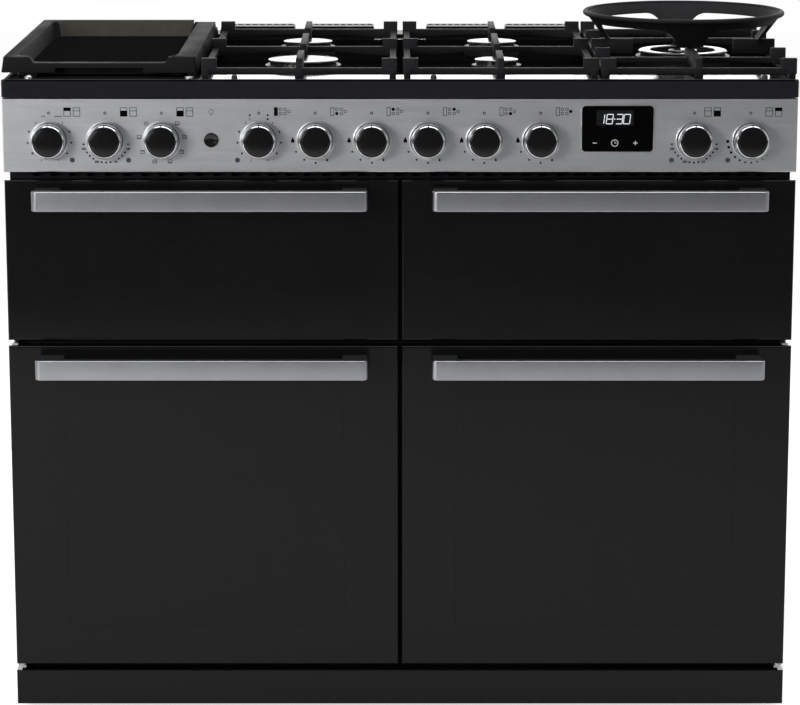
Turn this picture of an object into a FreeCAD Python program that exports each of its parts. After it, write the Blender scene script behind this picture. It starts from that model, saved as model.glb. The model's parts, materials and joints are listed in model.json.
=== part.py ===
import FreeCAD, Part
import os
from math import asin, cos, pi, radians, sin, tan
from FreeCAD import Vector

# A free-standing dual fuel range cooker: gas hob with a griddle over a ceramic hotplate,
# a stainless control panel, a drop-down grill door, a proving drawer and two side-hinged ovens.
# All lengths are in millimetres. X runs to the right, Y away from the viewer, Z up.
# The origin is on the floor, in the middle of the whole depth from handles to hob rear.

# Overall sizes
range_width = 1092.0
hob_depth = 608.0
hob_top_z = 905.0
hob_edge_height = 25.0
hob_edge_round = 3.0
hob_corner_round = 5.5
hob_well_depth = 10.0
hob_well_draft = 4.0
hob_well_round = 8.0
hob_well_left_x = -275.0
hob_well_right_x = 527.0
hob_well_front = 56.0
hob_well_rear = 505.0
handle_reach = 45.0
cut_overrun = 5.0
running_gap = 0.3
shaft_clearance = 0.05

# Sheet thicknesses
casing_sheet = 1.5
liner_sheet = 1.5
hob_sheet = 2.0
frame_sheet = 2.0

# How far the fronts stand behind the hob's front edge, and the casing inside its sides
door_setback = 5.0
panel_setback = 6.0
plinth_setback = 7.5
casing_inset = 6.0
door_side_inset = 1.0
panel_side_inset = 0.5

front_y = -(hob_depth + handle_reach) / 2
hob_front_y = front_y + handle_reach
hob_rear_y = hob_front_y + hob_depth
hob_half_width = range_width / 2
casing_x = hob_half_width - casing_inset
casing_rear_y = hob_rear_y - hob_sheet
back_inner_y = casing_rear_y - casing_sheet
hob_under_z = hob_top_z - hob_sheet
hob_well_z = hob_top_z - hob_well_depth
hob_edge_z = hob_top_z - hob_edge_height

# Heights of the fronts
plinth_bottom_z = 10.0
plinth_top_z = 60.0
lower_door_bottom_z = 70.0
lower_door_top_z = 532.0
upper_door_bottom_z = 540.0
upper_door_top_z = 765.0
panel_bottom_z = 776.0
panel_top_z = 878.0

# Doors and the frame behind them
door_skin = 3.0
door_rim = 14.0
door_shell_depth = 19.5
door_liner_depth = 2.5
door_liner_inset = 3.0
door_edge_round = 2.5
door_stand_off = 3.0
centre_gap = 5.0
door_front_y = hob_front_y + door_setback
door_shell_back_y = door_front_y + door_shell_depth
door_back_y = door_shell_back_y + door_liner_depth
frame_front_y = door_back_y + door_stand_off
frame_back_y = frame_front_y + frame_sheet
door_outer_x = hob_half_width - door_side_inset
door_inner_x = centre_gap / 2
bay_x = (door_outer_x + door_inner_x) / 2

# Cavities behind the doors
cavity_width = 430.0
oven_bottom_z = 95.0
oven_height = 400.0
oven_depth = 450.0
upper_bottom_z = 562.0
upper_height = 182.0
upper_depth = 420.0
liner_flange = 14.0
window_width = 390.0
window_bottom_z = 128.0
window_height = 330.0
glass_thickness = 4.0
glass_clearance = 0.2
seal_width = 8.0

# Handles
handle_length = 460.0
handle_height = 28.0
handle_bar_depth = 16.0
handle_arm_width = 34.0
handle_arm_height = 24.0
handle_end_round = 8.0
handle_edge_round = 2.0
upper_handle_drop = 22.5
lower_handle_drop = 25.0

# Hinges
hinge_pin_radius = 4.0
hinge_edge = 7.0
hinge_depth = 8.5
hinge_plate = 3.0
hinge_top_gap = 0.5
hinge_plate_width = 12.0
hinge_pin_reach = 18.0
hinge_collar_radius = 6.0
grill_hinge_height = 8.0
grill_lug_width = 10.0
grill_lug_round = 5.0
grill_lug_inset = 45.0

# Control panel
panel_sheet = 2.0
panel_return = 20.0
panel_edge_round = 1.5
knob_axis_z = 820.5
knob_pitch = 77.3
middle_knobs = 6
outer_knob_x = 481.5
knob_radius = 24.0
knob_face_radius = 22.4
knob_cap_radius = 20.2
knob_depth = 25.5
knob_dome = 1.8
knob_dome_round_share = 0.8
knob_notch_width = 2.4
knob_notch_depth = 1.0
spindle_radius = 4.0
spindle_reach = 30.0
spindle_hole_radius = 5.0
bezel_radius = 26.5
bezel_depth = 10.0
bezel_clearance = 0.5
button_x = 259.5
button_radius = 10.0
button_proud = 3.0
button_travel = 2.0
switch_setback = 12.0
button_edge = 0.6
button_collar_radius = 12.0
button_collar_depth = 2.0
button_hole_clearance = 0.2
lamp_radius = 3.5
lamp_depth = 8.0
lamp_drop = 27.7
lamp_offset = 30.9
hotplate_lamp_offset = 30.2
display_x = 298.6
display_z = 836.3
display_width = 97.6
display_height = 63.0
display_thickness = 2.0
display_round = 5.0
clock_module_depth = 30.0
clock_module_share = 0.85

# Taps, switches and gas rail behind the panel
tap_size = 30.0
tap_length = 44.0
rail_size = 16.0
bend_radius_share = 2.5
bend_run_share = 0.45
supply_pipe_radius = 4.0
gas_pipe_radius = 9.0
inlet_radius = 10.48
inlet_length = 24.0
inlet_x = 430.0
inlet_z = 845.0
inlet_hole_radius = 26.0

# Burners: name, place from the middle and from the hob's front edge, cap radius, knob number
burner_table = (
    ("left_front", -137.0, 160.0, 49.5, 0),
    ("left_rear", -137.0, 400.0, 36.3, 1),
    ("centre_rear", 136.5, 400.0, 36.5, 2),
    ("centre_front", 136.5, 160.0, 31.0, 3),
)
wok_burner_x = 410.5
wok_burner_y = 277.0
wok_burner_radius = 64.0
wok_inner_radius = 42.5
wok_middle_radius = 21.0
wok_ring_width = 17.0
burner_flange_height = 2.0
burner_flange_lip = 4.0
burner_head_height = 5.0
burner_head_inset = 2.5
burner_cap_height = 3.5
burner_cap_round = 1.2
burner_cup_inset = 8.0
burner_cup_depth = 30.0
burner_hole_clearance = 0.5
flame_slot_width = 2.2
flame_slot_height = 3.0
flame_slot_pitch = 9.0

# Griddle over the ceramic hotplate, places from the middle and the hob's front edge
griddle_outer_x = 548.5
griddle_inner_x = 278.5
griddle_front = 26.0
griddle_rear = 542.0
griddle_top_inset = 3.0
griddle_bottom_z = 911.0
griddle_top_z = 932.0
griddle_plate_z = 910.0
griddle_plate = 3.7
griddle_rim = 20.0
griddle_rear_rim = 26.0
griddle_spout_rim = 29.0
griddle_well_draft = 6.0
griddle_wall = 4.0
griddle_skirt = 5.0
griddle_channel_z = 919.0
griddle_corner_round = 22.0
griddle_edge_round = 6.0
griddle_lip_z = 923.5
griddle_lip_half = 87.5
griddle_lip_curve = 12.0
griddle_slot_width = 121.0
griddle_slot_top_z = 917.4
griddle_spout_z = 921.0
griddle_spout_overlap = 8.0
griddle_foot_length = 11.0
griddle_left_foot = 38.0
griddle_right_foot = 2.0
griddle_foot_setback = 3.0
griddle_foot_depth = 10.0
hotplate_margin_x = 18.0
hotplate_margin_y = 34.0
hotplate_thickness = 4.0
hotplate_proud = 1.0
hotplate_clearance = 0.5
hotplate_ledge = 10.0
hotplate_element_height = 6.0
hotplate_element_gap = 4.0
hotplate_round = 10.0

# Pan supports
support_inner_gap = 4.0
support_span = 269.0
support_end_x = 545.0
support_front_z = 909.5
support_front_top_z = 917.6
support_bar_z = 912.0
support_bar_top_z = 919.5
support_lug_z = 931.0
support_bar_width = 10.0
support_lug_width = 21.0
support_web_z = 906.5
support_web_length = 92.0
support_rail_width = 9.0
support_rail_inset = 1.5
support_rail_z = 908.0
support_rail_top_z = 917.0
support_foot = 12.0
finger_width = 9.0
support_front = 28.0
support_middle = 280.0
support_rear = 522.0
support_second = 158.0
support_fourth = 395.0
finger_front_end = 125.0
finger_middle_front = 204.0
finger_middle_rear = 353.0
finger_rear_end = 425.0
wok_finger_front_end = 196.0
wok_finger_rear_end = 360.0
wok_arm_length = 62.0
finger_cap_gap = 2.5

# Wok ring
wok_rim_radius = 145.4
wok_rim_z = 973.0
wok_bead_radius = 3.6
wok_skirt_drop = 13.0
wok_wall = 6.0
wok_foot_radius = 107.0
wok_leg_half_angle = 9.8
wok_window_round = 24.0
wok_seat_width = 12.0

# Rear vent trim
trim_depth = 62.0
trim_base_height = 4.0
trim_height = 15.0
trim_sheet = 2.0
trim_side_inset = 2.0
trim_edge_round = 1.5
trim_hood_depth = 46.0
trim_hood_inset = 2.5
trim_hood_round = 6.0
trim_hoods_x = ((38.5, 148.5), (160.0, 278.0))
trim_slot_depth = 15.0
trim_bars = 9
trim_bar_width = 3.0

# Base, feet and rollers
base_height = 12.0
plinth_flange = 18.0
plinth_sheet = 2.0
plinth_end_inset = 0.5
foot_x = 480.0
foot_y = -190.0
foot_pad_radius = 22.0
foot_pad_height = 8.0
foot_stem_radius = 6.0
foot_socket_radius = 12.0
foot_socket_drop = 38.0
foot_stem_top_gap = 2.0
roller_y = 250.0
roller_radius = 25.0
roller_width = 26.0
roller_axle_radius = 5.0
roller_bracket = 4.0
roller_bracket_width = 36.0
roller_side_gap = 0.4

# Wires of the racks and the rods of the heating elements
ladder_wire_radius = 2.5
ladder_wall_gap = 1.5
ladder_front_inset = 30.0
ladder_depth = 330.0
ladder_bottom_z = 118.0
ladder_height = 350.0
shelf_levels_z = (190.0, 260.0, 330.0, 400.0)
shelf_guard_rise = 16.0
used_levels = (0, 2)
shelf_frame_radius = 3.0
shelf_wire_radius = 2.0
shelf_front_inset = 16.0
shelf_depth = 345.0
shelf_wires = 9
element_radius = 4.0
grill_element_drop = 26.0
grill_element_loops = 5
grill_element_depth = 300.0
grill_element_width = 320.0
grill_element_front = 60.0
ring_element_radius = 96.0
proving_element_height = 1.5
proving_element_share = 0.7

# Fans
fan_radius = 72.0
fan_hub_radius = 14.0
fan_disc = 2.0
fan_blade_height = 24.0
fan_blade_width = 3.0
fan_blades = 10
fan_rear_gap = 10.0
fan_shaft_radius = 4.0
fan_shaft_hole = 6.0
fan_cover_size = 300.0
fan_cover_depth = 48.0
fan_cover_sheet = 1.5
fan_cover_slots = 12
fan_cover_slot_inner = 18.0
fan_cover_slot_outer = 66.0
fan_cover_slot_width = 6.0
motor_radius = 36.0
motor_length = 46.0

# Proving drawer and grill carriage
runner_width = 10.0
runner_height = 12.0
runner_z = 600.0
runner_front_inset = 8.0
runner_rear_inset = 30.0
drawer_sheet = 2.0
drawer_box_depth = 370.0
drawer_box_z = 575.0
drawer_box_height = 115.0
drawer_ledge_height = 4.0
grill_runner_z = 640.0
carriage_bar = 8.0
carriage_front_inset = 12.0
carriage_depth = 340.0
pan_rim = 10.0
pan_depth_below = 14.0
pan_height = 40.0
pan_sheet = 2.0

# Casing details
vent_pitch = 25.0
vent_width = 16.0
vent_height = 7.0
vent_count = 41
terminal_box_size = (110.0, 22.0, 80.0)
terminal_x = -400.0
terminal_z = 130.0
terminal_cover = 2.0
bracket_hole_radius = 3.25
bracket_hole_spacing = 900.0
bracket_hole_z = 700.0
rear_vent_width = 60.0
rear_vent_height = 5.0
rear_vent_pitch_x = 90.0
rear_vent_pitch_z = 14.0
rear_vent_rows = 4
rear_vent_columns = 9
rear_vent_z = 780.0

axis_x = Vector(1, 0, 0)
axis_y = Vector(0, 1, 0)
axis_z = Vector(0, 0, 1)

panel_front_y = hob_front_y + panel_setback
panel_back_y = panel_front_y + panel_sheet
tap_front_y = panel_back_y + switch_setback
hinge_y = door_front_y + hinge_depth
hinge_x = door_outer_x - hinge_edge
grill_hinge_z = upper_door_bottom_z + grill_hinge_height


def block(x, y, z):
    """Box between three pairs of low and high values."""
    size = (x[1] - x[0], y[1] - y[0], z[1] - z[0])
    return Part.makeBox(size[0], size[1], size[2], Vector(x[0], y[0], z[0]))


def span(middle, width):
    """Low and high value of a width about its middle."""
    return (middle - width / 2, middle + width / 2)


def grow(pair, amount):
    """A pair moved outwards at both ends."""
    return (pair[0] - amount, pair[1] + amount)


def on_side(side, shape):
    """A shape made for the right side, mirrored when it goes on the left."""
    if side > 0:
        return shape
    return shape.mirror(Vector(), axis_x)


def rod(radius, start, end):
    """Cylinder between two points."""
    run = end.sub(start)
    return Part.makeCylinder(radius, run.Length, start, run)


def disc(radius, low, high, x, y):
    """Upright cylinder between two heights."""
    return Part.makeCylinder(radius, high - low, Vector(x, y, low))


def ring(outer, inner, low, high, x, y):
    """Upright tube between two heights."""
    hole = disc(inner, low - cut_overrun, high + cut_overrun, x, y)
    return disc(outer, low, high, x, y).cut(hole)


def lying_disc(radius, y, x, z):
    """Cylinder along Y between a front and a rear value."""
    return Part.makeCylinder(radius, y[1] - y[0], Vector(x, y[0], z), axis_y)


def edges_where(shape, test):
    """Straight edges of a shape whose two ends pass a test."""
    found = []
    for edge in shape.Edges:
        ends = [vertex.Point for vertex in edge.Vertexes]
        if len(ends) == 2 and test(ends[0], ends[1]):
            found.append(edge)
    return found


def near(a, b):
    return abs(a - b) < running_gap / 10


def round_upright_edges(shape, radius):
    chosen = edges_where(shape, lambda a, b: near(a.x, b.x) and near(a.y, b.y))
    return shape.makeFillet(radius, chosen)


def round_front_edges(shape, radius, y):
    chosen = edges_where(shape, lambda a, b: near(a.y, y) and near(b.y, y))
    return shape.makeFillet(radius, chosen)


def prism(points, direction):
    """Solid from a closed outline of points, pushed along a direction."""
    outline = Part.makePolygon(points + [points[0]])
    return Part.Face(outline).extrude(direction)


def save(name, shapes):
    """One STEP file for one node."""
    solids = []
    for shape in shapes:
        solids.extend(shape.Solids)
    whole = solids[0] if len(solids) == 1 else Part.makeCompound(solids)
    whole.exportStep("parts/" + name + ".step")
    volume = sum(solid.Volume for solid in solids)
    print(name, len(solids), "solids", round(volume), "mm3", all(s.isValid() for s in solids))


def make_base_frame():
    outer_x = (-casing_x + casing_sheet, casing_x - casing_sheet)
    outer_y = (frame_back_y, back_inner_y)
    outer_z = (plinth_top_z, plinth_top_z + base_height)
    hollow_z = (plinth_top_z + casing_sheet, outer_z[1] + cut_overrun)
    hollow = block(grow(outer_x, -casing_sheet), grow(outer_y, -casing_sheet), hollow_z)
    pan = block(outer_x, outer_y, outer_z).cut(hollow)
    parts = [pan]
    socket_z = plinth_top_z - foot_socket_drop
    for side in (-1, 1):
        bore = foot_stem_radius + shaft_clearance
        socket = ring(foot_socket_radius, bore, socket_z, plinth_top_z, side * foot_x, foot_y)
        parts.append(socket)
        parts.extend(make_roller_brackets(side))
    return parts


def make_roller_brackets(side):
    """Two cheeks under the base that carry a rear roller's axle."""
    half = roller_width / 2 + roller_side_gap
    inner = (foot_x - half - roller_bracket, foot_x - half)
    outer = (foot_x + half, foot_x + half + roller_bracket)
    low = roller_radius - roller_axle_radius - roller_bracket
    cheeks = []
    for x in (inner, outer):
        cheek = block(x, span(roller_y, roller_bracket_width), (low, plinth_top_z))
        bore_start = Vector(x[0] - cut_overrun, roller_y, roller_radius)
        bore_end = Vector(x[1] + cut_overrun, roller_y, roller_radius)
        cheek = cheek.cut(rod(roller_axle_radius + shaft_clearance, bore_start, bore_end))
        cheeks.append(on_side(side, cheek))
    return cheeks


def make_rear_rollers():
    rollers = []
    axle_half = roller_width / 2 + roller_side_gap + roller_bracket
    for side in (-1, 1):
        x = side * foot_x
        wheel = rod(roller_radius, Vector(x - roller_width / 2, roller_y, roller_radius),
                    Vector(x + roller_width / 2, roller_y, roller_radius))
        axle = rod(roller_axle_radius, Vector(x - axle_half, roller_y, roller_radius),
                   Vector(x + axle_half, roller_y, roller_radius))
        rollers.append(wheel.fuse(axle).removeSplitter())
    return rollers


def make_front_feet():
    feet = []
    stem_top = plinth_top_z - foot_stem_top_gap
    for side in (-1, 1):
        pad = disc(foot_pad_radius, 0, foot_pad_height, side * foot_x, foot_y)
        stem = disc(foot_stem_radius, foot_pad_height, stem_top, side * foot_x, foot_y)
        feet.append(pad.fuse(stem).removeSplitter())
    return feet


def make_side_panels():
    y = (frame_back_y, back_inner_y)
    panels = []
    for side in (-1, 1):
        sheet = block((casing_x - casing_sheet, casing_x), y, (plinth_top_z, hob_under_z))
        panels.append(on_side(side, sheet))
    return panels


def make_back_panel():
    sheet = block((-casing_x, casing_x), (back_inner_y, casing_rear_y), (plinth_top_z, hob_under_z))
    through = grow((back_inner_y, casing_rear_y), cut_overrun)
    cutters = [lying_disc(inlet_hole_radius, through, inlet_x, inlet_z)]
    for side in (-1, 1):
        hole_x = side * bracket_hole_spacing / 2
        cutters.append(lying_disc(bracket_hole_radius, through, hole_x, bracket_hole_z))
    for row in range(rear_vent_rows):
        z = rear_vent_z + row * rear_vent_pitch_z
        for column in range(rear_vent_columns):
            x = (column - (rear_vent_columns - 1) / 2) * rear_vent_pitch_x
            cutters.append(block(span(x, rear_vent_width), through, span(z, rear_vent_height)))
    sheet = sheet.cut(Part.makeCompound(cutters))
    width, depth, height = terminal_box_size
    box_z = (terminal_z, terminal_z + height)
    box = block(span(terminal_x, width), (back_inner_y - depth, back_inner_y), box_z)
    cover = block(span(terminal_x, width), (casing_rear_y, casing_rear_y + terminal_cover), box_z)
    return [sheet, box, cover]


def cavity_x():
    return span(bay_x, cavity_width)


def make_front_frame():
    y = (frame_front_y, frame_back_y)
    sheet = block((-casing_x, casing_x), y, (plinth_top_z, panel_bottom_z))
    through = grow(y, cut_overrun)
    cutters = []
    for side in (-1, 1):
        oven_z = (oven_bottom_z, oven_bottom_z + oven_height)
        upper_z = (upper_bottom_z, upper_bottom_z + upper_height)
        cutters.append(on_side(side, block(cavity_x(), through, oven_z)))
        cutters.append(on_side(side, block(cavity_x(), through, upper_z)))
    vent_z = span((upper_door_top_z + panel_bottom_z) / 2, vent_height)
    for count in range(vent_count):
        x = (count - (vent_count - 1) / 2) * vent_pitch
        cutters.append(block(span(x, vent_width), through, vent_z))
    return sheet.cut(Part.makeCompound(cutters))


def make_plinth():
    front = hob_front_y + plinth_setback
    x = (-hob_half_width + plinth_end_inset, hob_half_width - plinth_end_inset)
    shell = block(x, (front, frame_back_y), (plinth_bottom_z, plinth_top_z))
    hollow_y = (front + plinth_sheet, frame_back_y + cut_overrun)
    hollow_z = (plinth_bottom_z + plinth_sheet, plinth_top_z - plinth_sheet)
    shell = shell.cut(block(grow(x, -plinth_sheet), hollow_y, hollow_z))
    return round_front_edges(shell, plinth_sheet / 2, front)


def make_liner(side, bottom, height, depth, shaft_hole):
    """Open-fronted cavity with a flange behind the front frame."""
    x = cavity_x()
    z = (bottom, bottom + height)
    rear = frame_back_y + depth
    shell = block(grow(x, liner_sheet), (frame_back_y, rear + liner_sheet), grow(z, liner_sheet))
    flange_x = grow(x, liner_sheet + liner_flange)
    flange_z = grow(z, liner_sheet + liner_flange)
    flange = block(flange_x, (frame_back_y, frame_back_y + liner_sheet), flange_z)
    liner = shell.fuse(flange).cut(block(x, (frame_back_y - cut_overrun, rear), z))
    if shaft_hole:
        through = (rear - cut_overrun, rear + liner_sheet + cut_overrun)
        liner = liner.cut(lying_disc(fan_shaft_hole, through, bay_x, fan_axis_z()))
    return on_side(side, liner.removeSplitter())


def fan_axis_z():
    return oven_bottom_z + oven_height / 2


def make_runners(side, z):
    """Two bars on a cavity's side walls that a drawer or a carriage slides on."""
    x = cavity_x()
    runner_y = (frame_back_y + runner_front_inset, frame_back_y + upper_depth - runner_rear_inset)
    runner_span = (z, z + runner_height)
    left = block((x[0], x[0] + runner_width), runner_y, runner_span)
    right = block((x[1] - runner_width, x[1]), runner_y, runner_span)
    return [on_side(side, left), on_side(side, right)]


def make_seals():
    """Flat seal round each opening, on the front of the frame."""
    seals = []
    y = (door_back_y + running_gap, frame_front_y)
    heights = ((oven_bottom_z, oven_height), (upper_bottom_z, upper_height))
    for side in (-1, 1):
        for bottom, height in heights:
            z = (bottom, bottom + height)
            outer = block(grow(cavity_x(), seal_width), y, grow(z, seal_width))
            hole = block(cavity_x(), grow(y, cut_overrun), z)
            seals.append(on_side(side, outer.cut(hole)))
    return seals


def make_door_shell(z):
    """Front skin of a door with its turned rim, open at the back."""
    x = (door_inner_x, door_outer_x)
    shell = block(x, (door_front_y, door_shell_back_y), z)
    pocket_y = (door_front_y + door_skin, door_shell_back_y + cut_overrun)
    shell = shell.cut(block(grow(x, -door_rim), pocket_y, grow(z, -door_rim)))
    return round_front_edges(shell, door_edge_round, door_front_y)


def make_door_back(z):
    """Inner pressing that closes a door shell."""
    x = grow((door_inner_x, door_outer_x), -door_liner_inset)
    return block(x, (door_shell_back_y, door_back_y), grow(z, -door_liner_inset))


def window_pane(inner, outer):
    """Pane that fills a window with a small clearance, between two depths."""
    x = grow(span(bay_x, window_width), -glass_clearance)
    z = grow((window_bottom_z, window_bottom_z + window_height), -glass_clearance)
    return block(x, (inner, outer), z)


def window_hole():
    z = (window_bottom_z, window_bottom_z + window_height)
    return block(span(bay_x, window_width), grow((door_front_y, door_back_y), cut_overrun), z)


def make_oven_door(side):
    """Outer door with a bore for each hinge pin, and its window pane."""
    z = (lower_door_bottom_z, lower_door_top_z)
    shell = make_door_shell(z).cut(window_hole())
    bore = hinge_pin_radius + shaft_clearance
    reach = hinge_pin_reach + running_gap
    for low, high in ((z[0] - cut_overrun, z[0] + reach), (z[1] - reach, z[1] + cut_overrun)):
        shell = shell.cut(disc(bore, low, high, hinge_x, hinge_y))
    pane = window_pane(door_front_y, door_front_y + glass_thickness)
    return [on_side(side, shell), on_side(side, pane)]


def make_door_liner(side):
    z = (lower_door_bottom_z, lower_door_top_z)
    plate = make_door_back(z).cut(window_hole())
    pane = window_pane(door_shell_back_y, door_back_y)
    return [on_side(side, plate), on_side(side, pane)]


def make_handle(side, door_top, drop):
    """Flat bar on two arms that stand on the door."""
    z = span(door_top - drop, handle_height)
    x = span(bay_x, handle_length)
    y = (front_y, front_y + handle_bar_depth)
    bar = block(x, y, z)
    ends = edges_where(bar, lambda a, b: near(a.y, y[0]) and near(b.y, y[0]) and near(a.x, b.x))
    bar = bar.makeFillet(handle_end_round, ends)
    outline = [edge for edge in bar.Edges if near(edge.BoundBox.ZMin, edge.BoundBox.ZMax)]
    outline += edges_where(bar, lambda a, b: near(a.y, y[1]) and near(b.y, y[1]) and near(a.x, b.x))
    bar = bar.makeFillet(handle_edge_round, outline)
    parts = [on_side(side, bar)]
    arm_z = span(door_top - drop, handle_arm_height)
    flat = grow(x, -handle_edge_round)
    for arm_x in ((flat[0], flat[0] + handle_arm_width), (flat[1] - handle_arm_width, flat[1])):
        parts.append(on_side(side, block(arm_x, (y[1], door_front_y), arm_z)))
    return parts


def grill_lug_places():
    return (door_inner_x + grill_lug_inset, door_outer_x - grill_lug_inset)


def make_grill_door():
    """Drop-down door with a notch and a pin bore for each hinge lug."""
    z = (upper_door_bottom_z, upper_door_top_z)
    shell = make_door_shell(z)
    back = make_door_back(z)
    notch_y = (door_front_y + door_skin, door_back_y + cut_overrun)
    notch_z = (z[0] - cut_overrun, grill_hinge_z + grill_lug_round + running_gap * 2)
    for middle in grill_lug_places():
        notch = block(span(middle, grill_lug_width + running_gap * 2), notch_y, notch_z)
        pin_half = grill_lug_width / 2 + grill_lug_width + running_gap
        bore = rod(hinge_pin_radius + shaft_clearance, Vector(middle - pin_half, hinge_y, grill_hinge_z),
                   Vector(middle + pin_half, hinge_y, grill_hinge_z))
        shell = shell.cut(notch).cut(bore)
        back = back.cut(notch)
    return [on_side(-1, shell), on_side(-1, back)]


def make_hinges():
    """Fixed hinge plates with pins for the oven doors, and lugs with cross pins for the grill door."""
    parts = []
    top_low = lower_door_top_z + hinge_top_gap
    top_plate = (top_low, top_low + hinge_plate)
    low_plate = (lower_door_bottom_z - hinge_plate * 2, lower_door_bottom_z - hinge_plate)
    plate_x = span(hinge_x, hinge_plate_width)
    plate_x = (plate_x[0], min(plate_x[1], casing_x))
    plate_y = (hinge_y - hinge_collar_radius, frame_front_y)
    for side in (-1, 1):
        top = block(plate_x, plate_y, top_plate)
        pin_low = lower_door_top_z - hinge_pin_reach
        top = top.fuse(disc(hinge_pin_radius, pin_low, top_low, hinge_x, hinge_y))
        low = block(plate_x, plate_y, low_plate)
        pin_high = lower_door_bottom_z + hinge_pin_reach
        low = low.fuse(disc(hinge_pin_radius, low_plate[1], pin_high, hinge_x, hinge_y))
        collar_top = lower_door_bottom_z - running_gap
        collar = disc(hinge_collar_radius, low_plate[1], collar_top, hinge_x, hinge_y)
        low = low.fuse(collar)
        parts.append(on_side(side, top.removeSplitter()))
        parts.append(on_side(side, low.removeSplitter()))
    for middle in grill_lug_places():
        parts.append(on_side(-1, make_grill_lug(middle)))
    return parts


def make_grill_lug(middle):
    """Arm from the front frame to the grill door's axis, with a pin through it."""
    x = span(middle, grill_lug_width)
    arm = block(x, (hinge_y, frame_front_y), span(grill_hinge_z, grill_lug_round * 2))
    nose = rod(grill_lug_round, Vector(x[0], hinge_y, grill_hinge_z), Vector(x[1], hinge_y, grill_hinge_z))
    pin_half = grill_lug_width / 2 + grill_lug_width
    pin = rod(hinge_pin_radius, Vector(middle - pin_half, hinge_y, grill_hinge_z),
              Vector(middle + pin_half, hinge_y, grill_hinge_z))
    return arm.fuse(nose).fuse(pin).removeSplitter()


def knob_places():
    """Every knob's name and place across the panel."""
    first = -(middle_knobs - 1) / 2 * knob_pitch
    middle = [first + index * knob_pitch for index in range(middle_knobs)]
    return (
        ("knob_grill", -outer_knob_x),
        ("knob_left_oven_heat", -outer_knob_x + knob_pitch),
        ("knob_left_oven_function", -outer_knob_x + knob_pitch * 2),
        ("knob_hotplate", middle[0]),
        ("knob_burner_left_front", middle[1]),
        ("knob_burner_left_rear", middle[2]),
        ("knob_burner_centre_rear", middle[3]),
        ("knob_burner_centre_front", middle[4]),
        ("knob_burner_wok", middle[5]),
        ("knob_right_oven", outer_knob_x - knob_pitch),
        ("knob_proving_drawer", outer_knob_x),
    )


def make_knob(x):
    """Slightly tapered knob with a raised round-edged cap, a pointer notch and its spindle."""
    base = panel_front_y - bezel_clearance
    face = base - knob_depth
    body = Part.makeCone(knob_face_radius, knob_radius, knob_depth, Vector(0, face, 0), axis_y)
    cap = lying_disc(knob_cap_radius, (face - knob_dome, face), 0, 0)
    front_edge = [edge for edge in cap.Edges if near(edge.BoundBox.YMax, face - knob_dome)]
    body = body.fuse(cap.makeFillet(knob_dome * knob_dome_round_share, front_edge))
    notch_z = (knob_radius - knob_notch_depth, knob_radius + cut_overrun)
    body = body.cut(block(span(0, knob_notch_width), (face - cut_overrun, base + cut_overrun), notch_z))
    spindle = lying_disc(spindle_radius, (base, base + spindle_reach), 0, 0)
    knob = body.fuse(spindle).removeSplitter()
    knob.translate(Vector(x, 0, knob_axis_z))
    return knob


def make_bezels():
    bezels = []
    y = (panel_front_y - bezel_depth, panel_front_y)
    for name, x in knob_places():
        outer = lying_disc(bezel_radius, y, x, knob_axis_z)
        hole = lying_disc(knob_radius + bezel_clearance, grow(y, cut_overrun), x, knob_axis_z)
        bezels.append(outer.cut(hole))
    return bezels


def lamp_places():
    """Lamps stand beside the oven, grill and drawer knobs and the hotplate's knob."""
    places = [knob_places()[index][1] + lamp_offset for index in (0, 1)]
    places.append(knob_places()[3][1] - hotplate_lamp_offset)
    places.extend(knob_places()[index][1] - lamp_offset for index in (9, 10))
    return places


def make_lamps():
    z = knob_axis_z - lamp_drop
    y = (panel_front_y - running_gap, panel_front_y + lamp_depth)
    return [lying_disc(lamp_radius, y, x, z) for x in lamp_places()]


def make_control_panel():
    """Front sheet with turned edges and a hole for all that comes through it."""
    x = (-hob_half_width + panel_side_inset, hob_half_width - panel_side_inset)
    z = (panel_bottom_z, panel_top_z)
    rear = frame_back_y
    shell = block(x, (panel_front_y, rear), z)
    hollow_y = (panel_back_y, rear + cut_overrun)
    shell = shell.cut(block(grow(x, -panel_sheet), hollow_y, grow(z, -panel_sheet)))
    shell = round_front_edges(shell, panel_edge_round, panel_front_y)
    through = grow((panel_front_y, panel_back_y), cut_overrun)
    cutters = [lying_disc(spindle_hole_radius, through, place, knob_axis_z) for name, place in knob_places()]
    lamp_z = knob_axis_z - lamp_drop
    cutters.extend(lying_disc(lamp_radius, through, place, lamp_z) for place in lamp_places())
    hole = button_radius + button_hole_clearance
    cutters.append(lying_disc(hole, through, -button_x, knob_axis_z))
    return shell.cut(Part.makeCompound(cutters))


def make_display():
    """Clock window on the panel, and the clock module behind it."""
    x = span(display_x, display_width)
    z = span(display_z, display_height)
    pane = block(x, (panel_front_y - display_thickness, panel_front_y), z)
    chosen = edges_where(pane, lambda a, b: near(a.x, b.x) and near(a.z, b.z))
    pane = pane.makeFillet(display_round, chosen)
    module_x = span(display_x, display_width * clock_module_share)
    module_z = span(display_z, display_height * clock_module_share)
    module = block(module_x, (panel_back_y, panel_back_y + clock_module_depth), module_z)
    return [pane, module]


def make_light_button():
    """Round push button with a collar that holds it behind the panel."""
    y = (panel_front_y - button_proud, tap_front_y - button_travel - running_gap)
    cap = lying_disc(button_radius, y, -button_x, knob_axis_z)
    front_edge = [edge for edge in cap.Edges if near(edge.BoundBox.YMax, y[0])]
    cap = cap.makeChamfer(button_edge, front_edge)
    collar_y = (panel_back_y + running_gap, panel_back_y + running_gap + button_collar_depth)
    return cap.fuse(lying_disc(button_collar_radius, collar_y, -button_x, knob_axis_z)).removeSplitter()


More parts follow.
